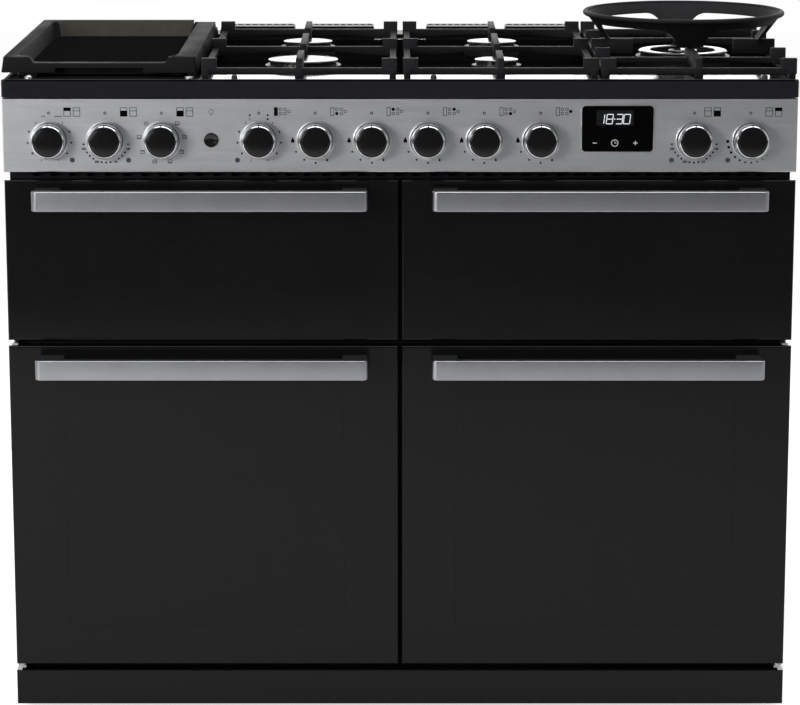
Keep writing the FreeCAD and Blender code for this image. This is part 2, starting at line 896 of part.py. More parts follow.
def make_control_rail():
    """Gas rail with taps, the rotary switches beside them, supply pipes and the rear inlet."""
    parts = []
    tap_y = (tap_front_y, tap_front_y + tap_length)
    tap_z = span(knob_axis_z, tap_size)
    base = panel_front_y - bezel_clearance
    bore_y = (tap_front_y - cut_overrun, base + spindle_reach + running_gap)
    for name, x in knob_places():
        body = block(span(x, tap_size), tap_y, tap_z)
        parts.append(body.cut(lying_disc(spindle_radius + shaft_clearance, bore_y, x, knob_axis_z)))
    parts.append(block(span(-button_x, tap_size), tap_y, tap_z))
    rail_x = (-casing_x + casing_sheet, casing_x - casing_sheet)
    rail_y = span(tap_front_y + tap_length / 2, rail_size)
    parts.append(block(rail_x, rail_y, (tap_z[0] - rail_size, tap_z[0])))
    parts.extend(make_supply_pipes(tap_y[1]))
    parts.append(make_gas_inlet(rail_y, tap_z[0] - rail_size))
    return parts


def cup_bottom_z():
    return hob_top_z - burner_cup_depth


def make_supply_pipes(start_y):
    """One bent pipe from each tap to its burner."""
    taps = knob_places()[4:9]
    targets = [(x, hob_front_y + y, taps[index][1]) for name, x, y, radius, index in burner_table]
    targets.append((wok_burner_x, hob_front_y + wok_burner_y, taps[4][1]))
    pipes = []
    for x, y, tap_x in targets:
        corners = [Vector(tap_x, start_y, knob_axis_z), Vector(tap_x, y, knob_axis_z),
                   Vector(x, y, knob_axis_z), Vector(x, y, cup_bottom_z())]
        pipes.append(bent_rod(supply_pipe_radius, corners))
    return pipes


def bent_rod(radius, corners):
    """Round rod through corners, with a round bend at each."""
    runs = [end.sub(start).Length for start, end in zip(corners, corners[1:])]
    bend = min([radius * bend_radius_share] + [run * bend_run_share for run in runs])
    edges = []
    start = corners[0]
    for before, corner, after in zip(corners, corners[1:], corners[2:]):
        into = corner.sub(before).normalize()
        out = after.sub(corner).normalize()
        half_turn = into.getAngle(out) / 2
        reach = bend * tan(half_turn)
        end = corner.add(out * reach)
        middle = corner.add(out.sub(into).normalize() * (bend / cos(half_turn) - bend))
        edges.append(Part.makeLine(start, corner.sub(into * reach)))
        edges.append(Part.Arc(corner.sub(into * reach), middle, end).toShape())
        start = end
    edges.append(Part.makeLine(start, corners[-1]))
    section = Part.Wire(Part.makeCircle(radius, corners[0], corners[1].sub(corners[0])))
    return Part.Wire(edges).makePipeShell([section], True, False)


def make_gas_inlet(rail_y, rail_bottom):
    """Pipe under the rail, back to the threaded end at the rear."""
    y = (rail_y[0] + rail_y[1]) / 2
    drop = rail_bottom - gas_pipe_radius
    rise_y = hob_rear_y - inlet_length * 2
    corners = [Vector(inlet_x, y, drop), Vector(inlet_x, rise_y, drop),
               Vector(inlet_x, rise_y, inlet_z), Vector(inlet_x, hob_rear_y, inlet_z)]
    end = lying_disc(inlet_radius, (hob_rear_y - inlet_length, hob_rear_y), inlet_x, inlet_z)
    return bent_rod(gas_pipe_radius, corners).fuse(end).removeSplitter()


def burner_places():
    return [(x, hob_front_y + y, radius) for name, x, y, radius, knob in burner_table]


def make_hob_tray():
    """Hob pressing with rounded edges, burner holes and the hotplate's opening."""
    x = (-hob_half_width, hob_half_width)
    y = (hob_front_y, hob_rear_y)
    shell = block(x, y, (hob_edge_z, hob_top_z))
    shell = round_upright_edges(shell, hob_corner_round)
    top_edges = [edge for edge in shell.Edges if near(edge.BoundBox.ZMin, hob_top_z)]
    shell = shell.makeFillet(hob_edge_round, top_edges)
    hollow = block(grow(x, -hob_sheet), grow(y, -hob_sheet), (hob_edge_z - cut_overrun, hob_under_z))
    hollow = round_upright_edges(hollow, hob_corner_round - hob_sheet)
    cutters = []
    for place_x, place_y, radius in burner_places() + [wok_place()]:
        hole = radius - burner_cup_inset + burner_hole_clearance
        cutters.append(disc(hole, hob_well_z - hob_sheet - cut_overrun, hob_top_z, place_x, place_y))
    seat = hotplate_seat_z()
    pocket_x, pocket_y = hotplate_spans(-hotplate_clearance)
    pocket = block(pocket_x, pocket_y, (seat, hob_top_z + cut_overrun))
    cutters.append(round_upright_edges(pocket, hotplate_round + hotplate_clearance))
    opening_x, opening_y = hotplate_spans(hotplate_ledge)
    cutters.append(block(opening_x, opening_y, (seat - hob_sheet - cut_overrun, hob_top_z + cut_overrun)))
    cutters.append(hob_well(0, hob_top_z + cut_overrun))
    ledge = block(grow(pocket_x, hob_sheet), grow(pocket_y, hob_sheet), (seat - hob_sheet, hob_under_z))
    dish = hob_well(hob_sheet, hob_under_z)
    return shell.cut(hollow).fuse(ledge).fuse(dish).cut(Part.makeCompound(cutters)).removeSplitter()


def hob_well(out, top):
    """The dish pressed into the hob round the burners, drawn out by a sheet's thickness."""
    x = grow((hob_well_left_x, hob_well_right_x), out)
    y = grow((hob_front_y + hob_well_front, hob_front_y + hob_well_rear), out)
    low = hob_well_z - out
    spread = hob_well_draft * (top - low) / hob_well_depth
    return drafted_block(x, y, (low, top), -spread, hob_well_round + out)


def wok_place():
    return (wok_burner_x, hob_front_y + wok_burner_y, wok_burner_radius)


def hotplate_spans(inset):
    """The hotplate glass's width and depth, drawn in by an inset."""
    x = (-griddle_outer_x + hotplate_margin_x, -griddle_inner_x - hotplate_margin_x)
    y = (hob_front_y + griddle_front + hotplate_margin_y, hob_front_y + griddle_rear - hotplate_margin_y)
    return grow(x, -inset), grow(y, -inset)


def hotplate_seat_z():
    return hob_top_z + hotplate_proud - hotplate_thickness


def make_hotplate():
    x, y = hotplate_spans(0)
    glass = block(x, y, (hotplate_seat_z(), hob_top_z + hotplate_proud))
    return round_upright_edges(glass, hotplate_round)


def make_elements():
    """Grill rod, fan rings, hotplate element and the proving drawer's warming plate."""
    parts = []
    x, y = hotplate_spans(hotplate_ledge + hotplate_element_gap)
    seat = hotplate_seat_z()
    parts.append(block(x, y, (seat - hotplate_element_height, seat)))
    parts.append(make_grill_element())
    rear = frame_back_y + oven_depth
    ring_y = rear - fan_rear_gap - fan_blade_height / 2
    for side in (-1, 1):
        centre = Vector(bay_x, ring_y, fan_axis_z())
        loop = Part.makeTorus(ring_element_radius, element_radius, centre, axis_y)
        for turn in (-1, 1):
            foot = centre.add(Vector(turn * ring_element_radius, 0, 0))
            loop = loop.fuse(rod(element_radius, foot, Vector(foot.x, rear, foot.z)))
        parts.append(on_side(side, loop))
    plate_x = span(bay_x, cavity_width * proving_element_share)
    plate_y = span(frame_back_y + upper_depth / 2, upper_depth * proving_element_share)
    top = upper_bottom_z - liner_sheet
    parts.append(block(plate_x, plate_y, (top - proving_element_height, top)))
    return parts


def make_grill_element():
    """Rod that runs to and fro under the grill cavity's roof and ends in the rear wall."""
    z = upper_bottom_z + upper_height - grill_element_drop
    front = frame_back_y + grill_element_front
    rear = front + grill_element_depth
    wall = frame_back_y + upper_depth
    runs = grill_element_loops * 2
    pitch = grill_element_width / (runs - 1)
    start_x = -bay_x - grill_element_width / 2
    corners = [Vector(start_x, wall, z)]
    for index in range(runs - 1):
        turn_y = front if index % 2 == 0 else rear
        corners.append(Vector(start_x + index * pitch, turn_y, z))
        corners.append(Vector(start_x + (index + 1) * pitch, turn_y, z))
    corners.append(Vector(start_x + grill_element_width, wall, z))
    return bent_rod(element_radius, corners)


def make_fan_cover():
    """Pressed cover over the fan, with a round grille of radial slots."""
    rear = frame_back_y + oven_depth
    x = span(bay_x, fan_cover_size)
    z = span(fan_axis_z(), fan_cover_size)
    y = (rear - fan_cover_depth, rear)
    cover = block(x, y, z)
    hollow_y = (y[0] + fan_cover_sheet, rear + cut_overrun)
    cover = cover.cut(block(grow(x, -fan_cover_sheet), hollow_y, grow(z, -fan_cover_sheet)))
    slots = []
    centre = Vector(bay_x, y[0], fan_axis_z())
    slot_z = (fan_axis_z() + fan_cover_slot_inner, fan_axis_z() + fan_cover_slot_outer)
    for index in range(fan_cover_slots):
        slot = block(span(bay_x, fan_cover_slot_width), (y[0] - cut_overrun, y[0] + cut_overrun), slot_z)
        slot.rotate(centre, axis_y, index * 360 / fan_cover_slots)
        slots.append(slot)
    return cover.cut(Part.makeCompound(slots))


def make_fan_housings():
    parts = []
    rear = frame_back_y + oven_depth + liner_sheet
    for side in (-1, 1):
        motor = lying_disc(motor_radius, (rear, rear + motor_length), bay_x, fan_axis_z())
        bore_y = (rear - cut_overrun, rear + motor_length / 2 + running_gap)
        motor = motor.cut(lying_disc(fan_shaft_radius + shaft_clearance, bore_y, bay_x, fan_axis_z()))
        parts.append(on_side(side, make_fan_cover()))
        parts.append(on_side(side, motor))
    return parts


def make_fan(side):
    """Fan wheel with straight blades, and its shaft through the oven's rear wall."""
    rear = frame_back_y + oven_depth
    disc_y = (rear - fan_rear_gap, rear - fan_rear_gap + fan_disc)
    wheel = lying_disc(fan_radius, disc_y, bay_x, fan_axis_z())
    blade_y = (disc_y[0] - fan_blade_height, disc_y[0])
    centre = Vector(bay_x, disc_y[0], fan_axis_z())
    wheel = wheel.fuse(lying_disc(fan_hub_radius, blade_y, bay_x, fan_axis_z()))
    blade_z = (fan_axis_z() + fan_radius / 2, fan_axis_z() + fan_radius - fan_blade_width)
    for index in range(fan_blades):
        blade = block(span(bay_x, fan_blade_width), blade_y, blade_z)
        blade.rotate(centre, axis_y, index * 360 / fan_blades)
        wheel = wheel.fuse(blade)
    shaft_end = rear + liner_sheet + motor_length / 2
    wheel = wheel.fuse(lying_disc(fan_shaft_radius, (disc_y[1], shaft_end), bay_x, fan_axis_z()))
    return on_side(side, wheel.removeSplitter())


def make_ladders():
    """Wire ladder on each side wall of each oven."""
    ladders = []
    x = cavity_x()
    for side in (-1, 1):
        ladders.append(on_side(side, make_ladder(x[0], 1)))
        ladders.append(on_side(side, make_ladder(x[1], -1)))
    return ladders


def make_ladder(wall, inward):
    upright_x = wall + inward * (ladder_wall_gap + ladder_wire_radius)
    rung_x = upright_x + inward * ladder_wire_radius * 2
    front = frame_back_y + ladder_front_inset
    rear = front + ladder_depth
    top = ladder_bottom_z + ladder_height
    shape = None
    for y in (front, rear):
        pieces = [rod(ladder_wire_radius, Vector(upright_x, y, ladder_bottom_z), Vector(upright_x, y, top))]
        for z in (ladder_bottom_z + ladder_wire_radius * 2, top - ladder_wire_radius * 2):
            pieces.append(rod(ladder_wire_radius, Vector(wall, y, z), Vector(upright_x, y, z)))
        for piece in pieces:
            shape = piece if shape is None else shape.fuse(piece)
    bite = ladder_wire_radius / 2
    rung_x -= inward * bite
    for level in shelf_levels_z:
        for z in (level, level + shelf_guard_rise):
            start = Vector(rung_x, front - ladder_wire_radius, z)
            shape = shape.fuse(rod(ladder_wire_radius, start, Vector(rung_x, rear + ladder_wire_radius, z)))
    return shape


def make_shelf(level):
    """Wire shelf that lies on the ladders' rungs."""
    x = cavity_x()
    edge = ladder_wall_gap + ladder_wire_radius * 2 + running_gap + shelf_frame_radius
    left, right = x[0] + edge, x[1] - edge
    front = frame_back_y + shelf_front_inset
    rear = front + shelf_depth
    z = level + ladder_wire_radius + shelf_frame_radius + running_gap
    middle = (left + right) / 2
    halves = []
    for side_x in (left, right):
        corners = [Vector(middle, front, z), Vector(side_x, front, z), Vector(side_x, rear, z),
                   Vector(middle, rear, z)]
        halves.append(bent_rod(shelf_frame_radius, corners))
    shape = halves[0].fuse(halves[1]).removeSplitter()
    step = (right - left) / (shelf_wires + 1)
    for index in range(shelf_wires):
        wire_x = left + (index + 1) * step
        shape = shape.fuse(rod(shelf_wire_radius, Vector(wire_x, front, z), Vector(wire_x, rear, z)))
    return shape


def make_shelves(side):
    return [on_side(side, make_shelf(shelf_levels_z[index])) for index in used_levels]


def make_drawer_box():
    """Open steel tray behind the drawer front, with ledges over the runners."""
    x = cavity_x()
    inner_x = grow(x, -runner_width - running_gap)
    y = (door_back_y, door_back_y + drawer_box_depth)
    z = (drawer_box_z, drawer_box_z + drawer_box_height)
    tray = block(inner_x, y, z)
    hollow_z = (drawer_box_z + drawer_sheet, z[1] + cut_overrun)
    hollow = block(grow(inner_x, -drawer_sheet), grow(y, -drawer_sheet), hollow_z)
    ledge_low = runner_z + runner_height + running_gap
    ledge_y = (frame_back_y + runner_front_inset, y[1])
    ledge_x = grow(x, -running_gap)
    ledges = block(ledge_x, ledge_y, (ledge_low, ledge_low + drawer_ledge_height))
    return tray.fuse(ledges).cut(hollow).removeSplitter()


def make_drawer_front():
    z = (upper_door_bottom_z, upper_door_top_z)
    return [make_door_shell(z), make_door_back(z)]


def make_grill_carriage():
    """Flat frame that slides on the grill cavity's runners."""
    x = grow(cavity_x(), -running_gap)
    y = (frame_back_y + carriage_front_inset, frame_back_y + carriage_front_inset + carriage_depth)
    low = grill_runner_z + runner_height + running_gap
    z = (low, low + carriage_bar)
    rim = runner_width + carriage_bar
    hole = block(grow(x, -rim), grow(y, -carriage_bar), grow(z, cut_overrun))
    return on_side(-1, block(x, y, z).cut(hole))


def make_grill_pan():
    """Enamelled pan whose rim lies on the carriage."""
    carriage_x = grow(cavity_x(), -running_gap)
    carriage_y = (frame_back_y + carriage_front_inset, frame_back_y + carriage_front_inset + carriage_depth)
    opening_x = grow(carriage_x, -(runner_width + carriage_bar))
    opening_y = grow(carriage_y, -carriage_bar)
    seat = grill_runner_z + runner_height + running_gap + carriage_bar
    body_x = grow(opening_x, -running_gap * 2)
    body_y = grow(opening_y, -running_gap * 2)
    z = (seat - pan_depth_below, seat - pan_depth_below + pan_height)
    body = block(body_x, body_y, z)
    rim = block(grow(body_x, pan_rim), grow(body_y, pan_rim - carriage_bar / 2), (seat, seat + pan_sheet))
    hollow = block(grow(body_x, -pan_sheet), grow(body_y, -pan_sheet), (z[0] + pan_sheet, z[1] + cut_overrun))
    return on_side(-1, body.fuse(rim).cut(hollow).removeSplitter())


def make_burner(x, y, radius):
    """Cup through the hob, flange on it and the toothed head."""
    flange_top = hob_top_z + burner_flange_height
    head_top = flange_top + burner_head_height
    cup = disc(radius - burner_cup_inset, cup_bottom_z(), hob_well_z, x, y)
    flange = disc(radius + burner_flange_lip, hob_well_z, flange_top, x, y)
    head = disc(radius - burner_head_inset, flange_top, head_top, x, y)
    count = int(2 * pi * radius / flame_slot_pitch)
    inner = radius - burner_cup_inset
    head = head.cut(flame_slots(x, y, inner, radius, head_top, count))
    return cup.fuse(flange).fuse(head).removeSplitter()


def flame_slots(x, y, inner, outer, top, count):
    slots = []
    for index in range(count):
        slot = block((x + inner, x + outer + cut_overrun), span(y, flame_slot_width),
                     (top - flame_slot_height, top + cut_overrun))
        slot.rotate(Vector(x, y, top), axis_z, index * 360 / count)
        slots.append(slot)
    return Part.makeCompound(slots)


def make_wok_burner():
    """Double burner: a wide ring and a smaller head inside it, on one cup."""
    x, y, radius = wok_place()
    flange_top = hob_top_z + burner_flange_height
    head_top = flange_top + burner_head_height
    cup = disc(radius - burner_cup_inset, cup_bottom_z(), hob_well_z, x, y)
    flange = disc(radius + burner_flange_lip, hob_well_z, flange_top, x, y)
    outer = ring(radius - burner_head_inset, radius - wok_ring_width + burner_head_inset,
                 flange_top, head_top, x, y)
    count = int(2 * pi * radius / flame_slot_pitch)
    outer = outer.cut(flame_slots(x, y, radius - burner_cup_inset, radius, head_top, count))
    inner = disc(wok_middle_radius - burner_head_inset, flange_top, head_top, x, y)
    return cup.fuse(flange).fuse(outer).fuse(inner).removeSplitter()


def make_burner_heads():
    return [make_burner(x, y, radius) for x, y, radius in burner_places()] + [make_wok_burner()]


def cap_disc(x, y, radius, inner):
    low = hob_top_z + burner_flange_height + burner_head_height
    cap = disc(radius, low, low + burner_cap_height, x, y)
    if inner:
        cap = cap.cut(disc(inner, low - cut_overrun, low + burner_cap_height + cut_overrun, x, y))
    top = low + burner_cap_height
    rounded = [edge for edge in cap.Edges if near(edge.BoundBox.ZMin, top)]
    return cap.makeFillet(burner_cap_round, rounded)


def make_burner_caps():
    caps = [cap_disc(x, y, radius, 0) for x, y, radius in burner_places()]
    x, y, radius = wok_place()
    caps.append(cap_disc(x, y, radius, radius - wok_ring_width))
    caps.append(cap_disc(x, y, wok_middle_radius, 0))
    return caps


def make_griddle():
    """Cast griddle: drafted rim and skirt, deep well, low front lip, pouring corner and feet."""
    outer_x = (-griddle_outer_x, -griddle_inner_x)
    outer_y = (hob_front_y + griddle_front, hob_front_y + griddle_rear)
    rim_z = (griddle_bottom_z, griddle_top_z)
    rim = drafted_block(outer_x, outer_y, rim_z, griddle_top_inset, griddle_edge_round)
    channel_z = (griddle_bottom_z - cut_overrun, griddle_channel_z)
    channel = block(grow(outer_x, -griddle_skirt), grow(outer_y, -griddle_skirt), channel_z)
    well_x = (outer_x[0] + griddle_rim, outer_x[1] - griddle_spout_rim)
    well_y = (outer_y[0] + griddle_rim, outer_y[1] - griddle_rear_rim)
    floor_x = grow(well_x, -griddle_well_draft)
    floor_y = grow(well_y, -griddle_well_draft)
    slope = griddle_well_draft / (griddle_top_z - griddle_plate_z)
    hull_z = (griddle_plate_z - griddle_plate, griddle_lip_z)
    hull = drafted_block(grow(floor_x, griddle_wall), grow(floor_y, griddle_wall), hull_z,
                         -slope * (hull_z[1] - hull_z[0]), griddle_corner_round + griddle_wall)
    well_z = (griddle_plate_z, griddle_top_z + cut_overrun)
    well = drafted_block(floor_x, floor_y, well_z, -slope * (well_z[1] - well_z[0]), griddle_corner_round)
    body = rim.cut(channel).fuse(hull)
    middle = (outer_x[0] + outer_x[1]) / 2
    slot_y = (outer_y[0] - cut_overrun, outer_y[0] + griddle_skirt + cut_overrun)
    slot_z = (griddle_bottom_z - cut_overrun, griddle_slot_top_z)
    slot = block(span(middle, griddle_slot_width), slot_y, slot_z)
    lip = make_lip_cutter(middle, (outer_y[0] - cut_overrun, well_y[0] + cut_overrun))
    spout = make_spout_cutter(well_x[1], well_y[1], outer_x[1], outer_y[1])
    for foot in make_griddle_feet(outer_x, outer_y):
        body = body.fuse(foot)
    return body.cut(well).cut(slot).cut(lip).cut(spout).removeSplitter()


def drafted_block(x, y, z, inset, radius):
    """Block whose top is smaller than its foot by an inset all round, with rounded corners."""
    outlines = [level_outline(x, y, z[0]), level_outline(grow(x, -inset), grow(y, -inset), z[1])]
    body = Part.makeLoft(outlines, True, True)
    corners = edges_where(body, lambda a, b: not near(a.z, b.z))
    return body.makeFillet(radius, corners)


def level_outline(x, y, z):
    corners = [Vector(x[0], y[0], z), Vector(x[1], y[0], z), Vector(x[1], y[1], z), Vector(x[0], y[1], z)]
    return Part.makePolygon(corners + [corners[0]])


def make_lip_cutter(middle, y):
    """Takes the front rim down to the low lip, with a curve of two arcs up at each end."""
    rise = griddle_top_z - griddle_lip_z
    bend = (griddle_lip_curve ** 2 + rise ** 2) / (4 * rise)
    half_turn = asin(griddle_lip_curve / 2 / bend) / 2
    across = bend * sin(half_turn)
    up = bend - bend * cos(half_turn)
    outline = []
    for side in (-1, 1):
        foot = Vector(middle + side * griddle_lip_half, y[0], griddle_lip_z)
        head = Vector(foot.x + side * griddle_lip_curve, y[0], griddle_top_z)
        centre = (foot + head) / 2
        lower = Part.Arc(foot, foot + Vector(side * across, 0, up), centre)
        upper = Part.Arc(centre, head - Vector(side * across, 0, up), head)
        outline.append((foot, head, lower.toShape(), upper.toShape()))
    (left_foot, left_head, *left_curve), (right_foot, right_head, *right_curve) = outline
    clear = Vector(0, 0, cut_overrun)
    edges = [Part.makeLine(left_foot, right_foot)] + right_curve
    over = [right_head, right_head + clear, left_head + clear, left_head]
    edges += [Part.makeLine(start, end) for start, end in zip(over, over[1:])] + left_curve
    profile = Part.Face(Part.Wire(Part.__sortEdges__(edges)))
    return profile.extrude(Vector(0, y[1] - y[0], 0))


def make_spout_cutter(well_right, well_rear, outer_right, outer_rear):
    """Pouring gap: the rear right corner of the rim is lower."""
    x = (well_right - griddle_spout_overlap, outer_right + cut_overrun)
    y = (well_rear - griddle_spout_overlap, outer_rear + cut_overrun)
    return block(x, y, (griddle_spout_z, griddle_top_z + cut_overrun))


def make_griddle_feet(x, y):
    """Four short feet inside the skirt, on the hob."""
    feet = []
    depths = ((y[0] + griddle_foot_setback, y[0] + griddle_foot_setback + griddle_foot_depth),
              (y[1] - griddle_foot_setback - griddle_foot_depth, y[1] - griddle_foot_setback))
    left = (x[0] + griddle_left_foot, x[0] + griddle_left_foot + griddle_foot_length)
    right = (x[1] - griddle_right_foot - griddle_foot_length, x[1] - griddle_right_foot)
    for foot_x in (left, right):
        for depth in depths:
            feet.append(block(foot_x, depth, (hob_top_z, griddle_channel_z)))
    return feet


def support_x(index):
    """Low and high side of a pan support, from left to right."""
    if index == 0:
        return (-support_inner_gap - support_span, -support_inner_gap)
    if index == 1:
        return (support_inner_gap, support_inner_gap + support_span)
    return (support_end_x - support_span, support_end_x)


def make_pan_support(index, wok):
    """Cast grid: cross bars with raised end lugs, side rails and fingers over the burners."""
    x = support_x(index)
    bars = [(support_front, False), (support_middle, True), (support_rear, True)]
    if wok:
        bars = [(support_front, False), (support_second, False), (support_fourth, True), (support_rear, True)]
    shape = None
    for y, webbed in bars:
        bar = make_cross_bar(x, hob_front_y + y, webbed)
        shape = bar if shape is None else shape.fuse(bar)
    rail_y = (hob_front_y + support_front, hob_front_y + support_rear)
    rail_z = (support_rail_z, support_rail_top_z)
    half_rail = support_rail_width / 2
    for middle in (x[0] + support_rail_inset + half_rail, x[1] - support_rail_inset - half_rail):
        rail_x = span(middle, support_rail_width)
        shape = shape.fuse(block(rail_x, rail_y, rail_z))
        for y in rail_y:
            shape = shape.fuse(block(rail_x, span(y, support_foot), (hob_top_z, support_rail_top_z)))
    for piece in make_fingers(x, wok):
        shape = shape.fuse(piece)
    return shape.cut(cap_clearances()).removeSplitter()


def cap_clearances():
    """Room round and over each burner cap that the fingers stay out of."""
    cap_top = hob_top_z + burner_flange_height + burner_head_height + burner_cap_height
    rooms = []
    for x, y, radius in burner_places() + [wok_place()]:
        reach = radius + burner_flange_lip + finger_cap_gap
        rooms.append(disc(reach, hob_top_z - cut_overrun, cap_top + finger_cap_gap, x, y))
    return Part.makeCompound(rooms)


def make_cross_bar(x, y, webbed):
    """Level bar with a raised lug at each end; a webbed one also deepens towards its ends."""
    bar_y = span(y, support_bar_width)
    low = support_bar_z if webbed else support_front_z
    top = support_bar_top_z if webbed else support_front_top_z
    shape = block(x, bar_y, (low, top))
    for end, away in ((x[0], 1), (x[1], -1)):
        lug_end = end + away * support_lug_width
        lug = (min(end, lug_end), max(end, lug_end))
        shape = shape.fuse(block(lug, bar_y, (low, support_lug_z)))
        if webbed:
            points = [Vector(end, bar_y[0], low), Vector(end, bar_y[0], support_web_z),
                      Vector(lug_end, bar_y[0], support_web_z),
                      Vector(end + away * support_web_length, bar_y[0], low)]
            shape = shape.fuse(prism(points, Vector(0, support_bar_width, 0)))
    return shape


def make_fingers(x, wok):
    """Raised bars from front to rear in the middle, open over each burner."""
    middle = (x[0] + x[1]) / 2
    half_bar = support_bar_width / 2
    pieces = []
    runs = [(support_front - half_bar, finger_front_end), (finger_middle_front, finger_middle_rear),
            (finger_rear_end, support_rear + half_bar)]
    if wok:
        runs = [(support_front - half_bar, wok_finger_front_end),
                (wok_finger_rear_end, support_rear + half_bar)]
        arm_z = (support_front_z, support_lug_z)
        arm_y = span(hob_front_y + wok_burner_y, finger_width)
        pieces.append(block((x[0] + support_rail_inset, x[0] + wok_arm_length), arm_y, arm_z))
        pieces.append(block((x[1] - wok_arm_length, x[1] - support_rail_inset), arm_y, arm_z))
    for low, high in runs:
        finger_y = (hob_front_y + low, hob_front_y + high)
        pieces.append(block(span(middle, finger_width), finger_y, (support_front_z, support_lug_z)))
    foot_y = span(hob_front_y + support_front, support_foot)
    pieces.append(block(span(middle, support_foot), foot_y, (hob_top_z, support_front_top_z)))
    return pieces


def make_wok_ring():
    """Beaded rim on a conical wall that is cut away between four wide legs."""
    seat = support_lug_z
    x, y, radius = wok_place()
    top = wok_rim_z - wok_bead_radius
    wall_top = wok_rim_radius - wok_bead_radius
    foot_outer = wok_foot_radius + wok_seat_width / 2
    outline = [Vector(foot_outer - wok_wall, 0, seat), Vector(foot_outer, 0, seat),
               Vector(wall_top, 0, top), Vector(wall_top - wok_wall, 0, top)]
    section = Part.Face(Part.makePolygon(outline + [outline[0]]))
    wall = section.revolve(Vector(), axis_z, 360)
    bead = Part.makeTorus(wall_top, wok_bead_radius, Vector(0, 0, top), axis_z)
    window = make_wok_window(seat - cut_overrun, wok_rim_z - wok_bead_radius - wok_skirt_drop)
    for quarter in range(4):
        wall = wall.cut(window)
        window.rotate(Vector(), axis_z, 90)
    whole = wall.fuse(bead).removeSplitter()
    whole.translate(Vector(x, y, 0))
    return whole


def make_wok_window(low, high):
    """Wedge with rounded upper edges that opens the wall between two legs."""
    half = radians(45 - wok_leg_half_angle)
    inner = wok_foot_radius - wok_window_round
    outer = (wok_rim_radius + cut_overrun) / cos(half)
    outline = [Vector(radius * cos(side * half), radius * sin(side * half), low)
               for radius, side in ((inner, -1), (outer, -1), (outer, 1), (inner, 1))]
    wedge = prism(outline, Vector(0, 0, high - low))
    sides = edges_where(wedge, lambda a, b: near(a.z, high) and near(b.z, high) and not near(a.x, b.x))
    wedge = wedge.makeFillet(wok_window_round, sides)
    wedge.rotate(Vector(), axis_z, 45)
    return wedge


def make_vent_trim():
    """Low flue trim behind the pan supports, with four hollow hoods, barred at the rear of their tops."""
    x = (-hob_half_width + trim_side_inset, hob_half_width - trim_side_inset)
    y = (hob_rear_y - trim_depth, hob_rear_y)
    base_z = (hob_top_z, hob_top_z + trim_base_height)
    shell = block(x, y, base_z)
    chosen = edges_where(shell, lambda a, b: near(a.z, base_z[1]) and near(b.z, base_z[1]))
    shell = shell.makeFillet(trim_edge_round, chosen)
    under_z = (hob_top_z - cut_overrun, base_z[1] - trim_sheet)
    under = block(grow(x, -trim_sheet), grow(y, -trim_sheet), under_z)
    shell = shell.cut(under)
    hood_y = span((y[0] + y[1]) / 2, trim_hood_depth)
    hood_z = (base_z[1] - trim_sheet, hob_top_z + trim_height)
    inside_z = grow(hood_z, -trim_sheet)
    slot_end = hood_y[1] - trim_hood_inset - trim_sheet
    slot_y = (slot_end - trim_slot_depth, slot_end)
    for side in (-1, 1):
        for low, high in trim_hoods_x:
            hood = drafted_block((low, high), hood_y, hood_z, trim_hood_inset, trim_hood_round)
            hollow = drafted_block(grow((low, high), -trim_sheet), grow(hood_y, -trim_sheet),
                                   (hood_z[0] - cut_overrun, inside_z[1]), trim_hood_inset,
                                   trim_hood_round - trim_sheet)
            slots = barred_slot(low + trim_hood_inset * 2, high - trim_hood_inset * 2, slot_y, hood_z[1])
            shell = shell.fuse(on_side(side, hood)).cut(on_side(side, hollow))
            shell = shell.cut(on_side(side, Part.makeCompound(slots)))
    return shell.removeSplitter()


def barred_slot(low, high, y, top):
    """Row of small openings with bars between them."""
    pitch = (high - low + trim_bar_width) / (trim_bars + 1)
    pieces = []
    for index in range(trim_bars + 1):
        start = low + index * pitch
        x = (start, start + pitch - trim_bar_width)
        pieces.append(block(x, y, (top - trim_sheet - cut_overrun, top + cut_overrun)))
    return pieces


os.makedirs("parts", exist_ok=True)

save("base_frame", make_base_frame())
save("side_panels", make_side_panels())
save("back_panel", make_back_panel())
save("front_frame", [make_front_frame()])
save("plinth", [make_plinth()])
save("hob_tray", [make_hob_tray()])
save("ceramic_hotplate", [make_hotplate()])
save("rear_vent_trim", [make_vent_trim()])
save("control_panel", [make_control_panel()])
save("display_glass", make_display())
save("knob_bezels", make_bezels())
save("indicator_lamps", make_lamps())
save("left_oven_liner", [make_liner(-1, oven_bottom_z, oven_height, oven_depth, True)])
save("right_oven_liner", [make_liner(1, oven_bottom_z, oven_height, oven_depth, True)])
grill_liner = make_liner(-1, upper_bottom_z, upper_height, upper_depth, False)
save("grill_liner", [grill_liner] + make_runners(-1, grill_runner_z))
drawer_liner = make_liner(1, upper_bottom_z, upper_height, upper_depth, False)
save("drawer_liner", [drawer_liner] + make_runners(1, runner_z))
save("heating_elements", make_elements())
save("fan_housings", make_fan_housings())
save("shelf_supports", make_ladders())
save("burner_heads", make_burner_heads())
save("burner_caps", make_burner_caps())
save("control_rail", make_control_rail())
save("door_hinges", make_hinges())
save("door_seals", make_seals())
for knob_name, knob_x in knob_places():
    save(knob_name, [make_knob(knob_x)])
save("light_button", [make_light_button()])
save("griddle_plate", [make_griddle()])
save("pan_support_left", [make_pan_support(0, False)])
save("pan_support_centre", [make_pan_support(1, False)])
save("pan_support_right", [make_pan_support(2, True)])
save("wok_ring", [make_wok_ring()])
save("grill_door", make_grill_door())
save("grill_door_handle", make_handle(-1, upper_door_top_z, upper_handle_drop))
save("grill_carriage", [make_grill_carriage()])
save("grill_pan", [make_grill_pan()])
save("drawer_front", make_drawer_front())
save("drawer_box", [make_drawer_box()])
save("drawer_handle", make_handle(1, upper_door_top_z, upper_handle_drop))
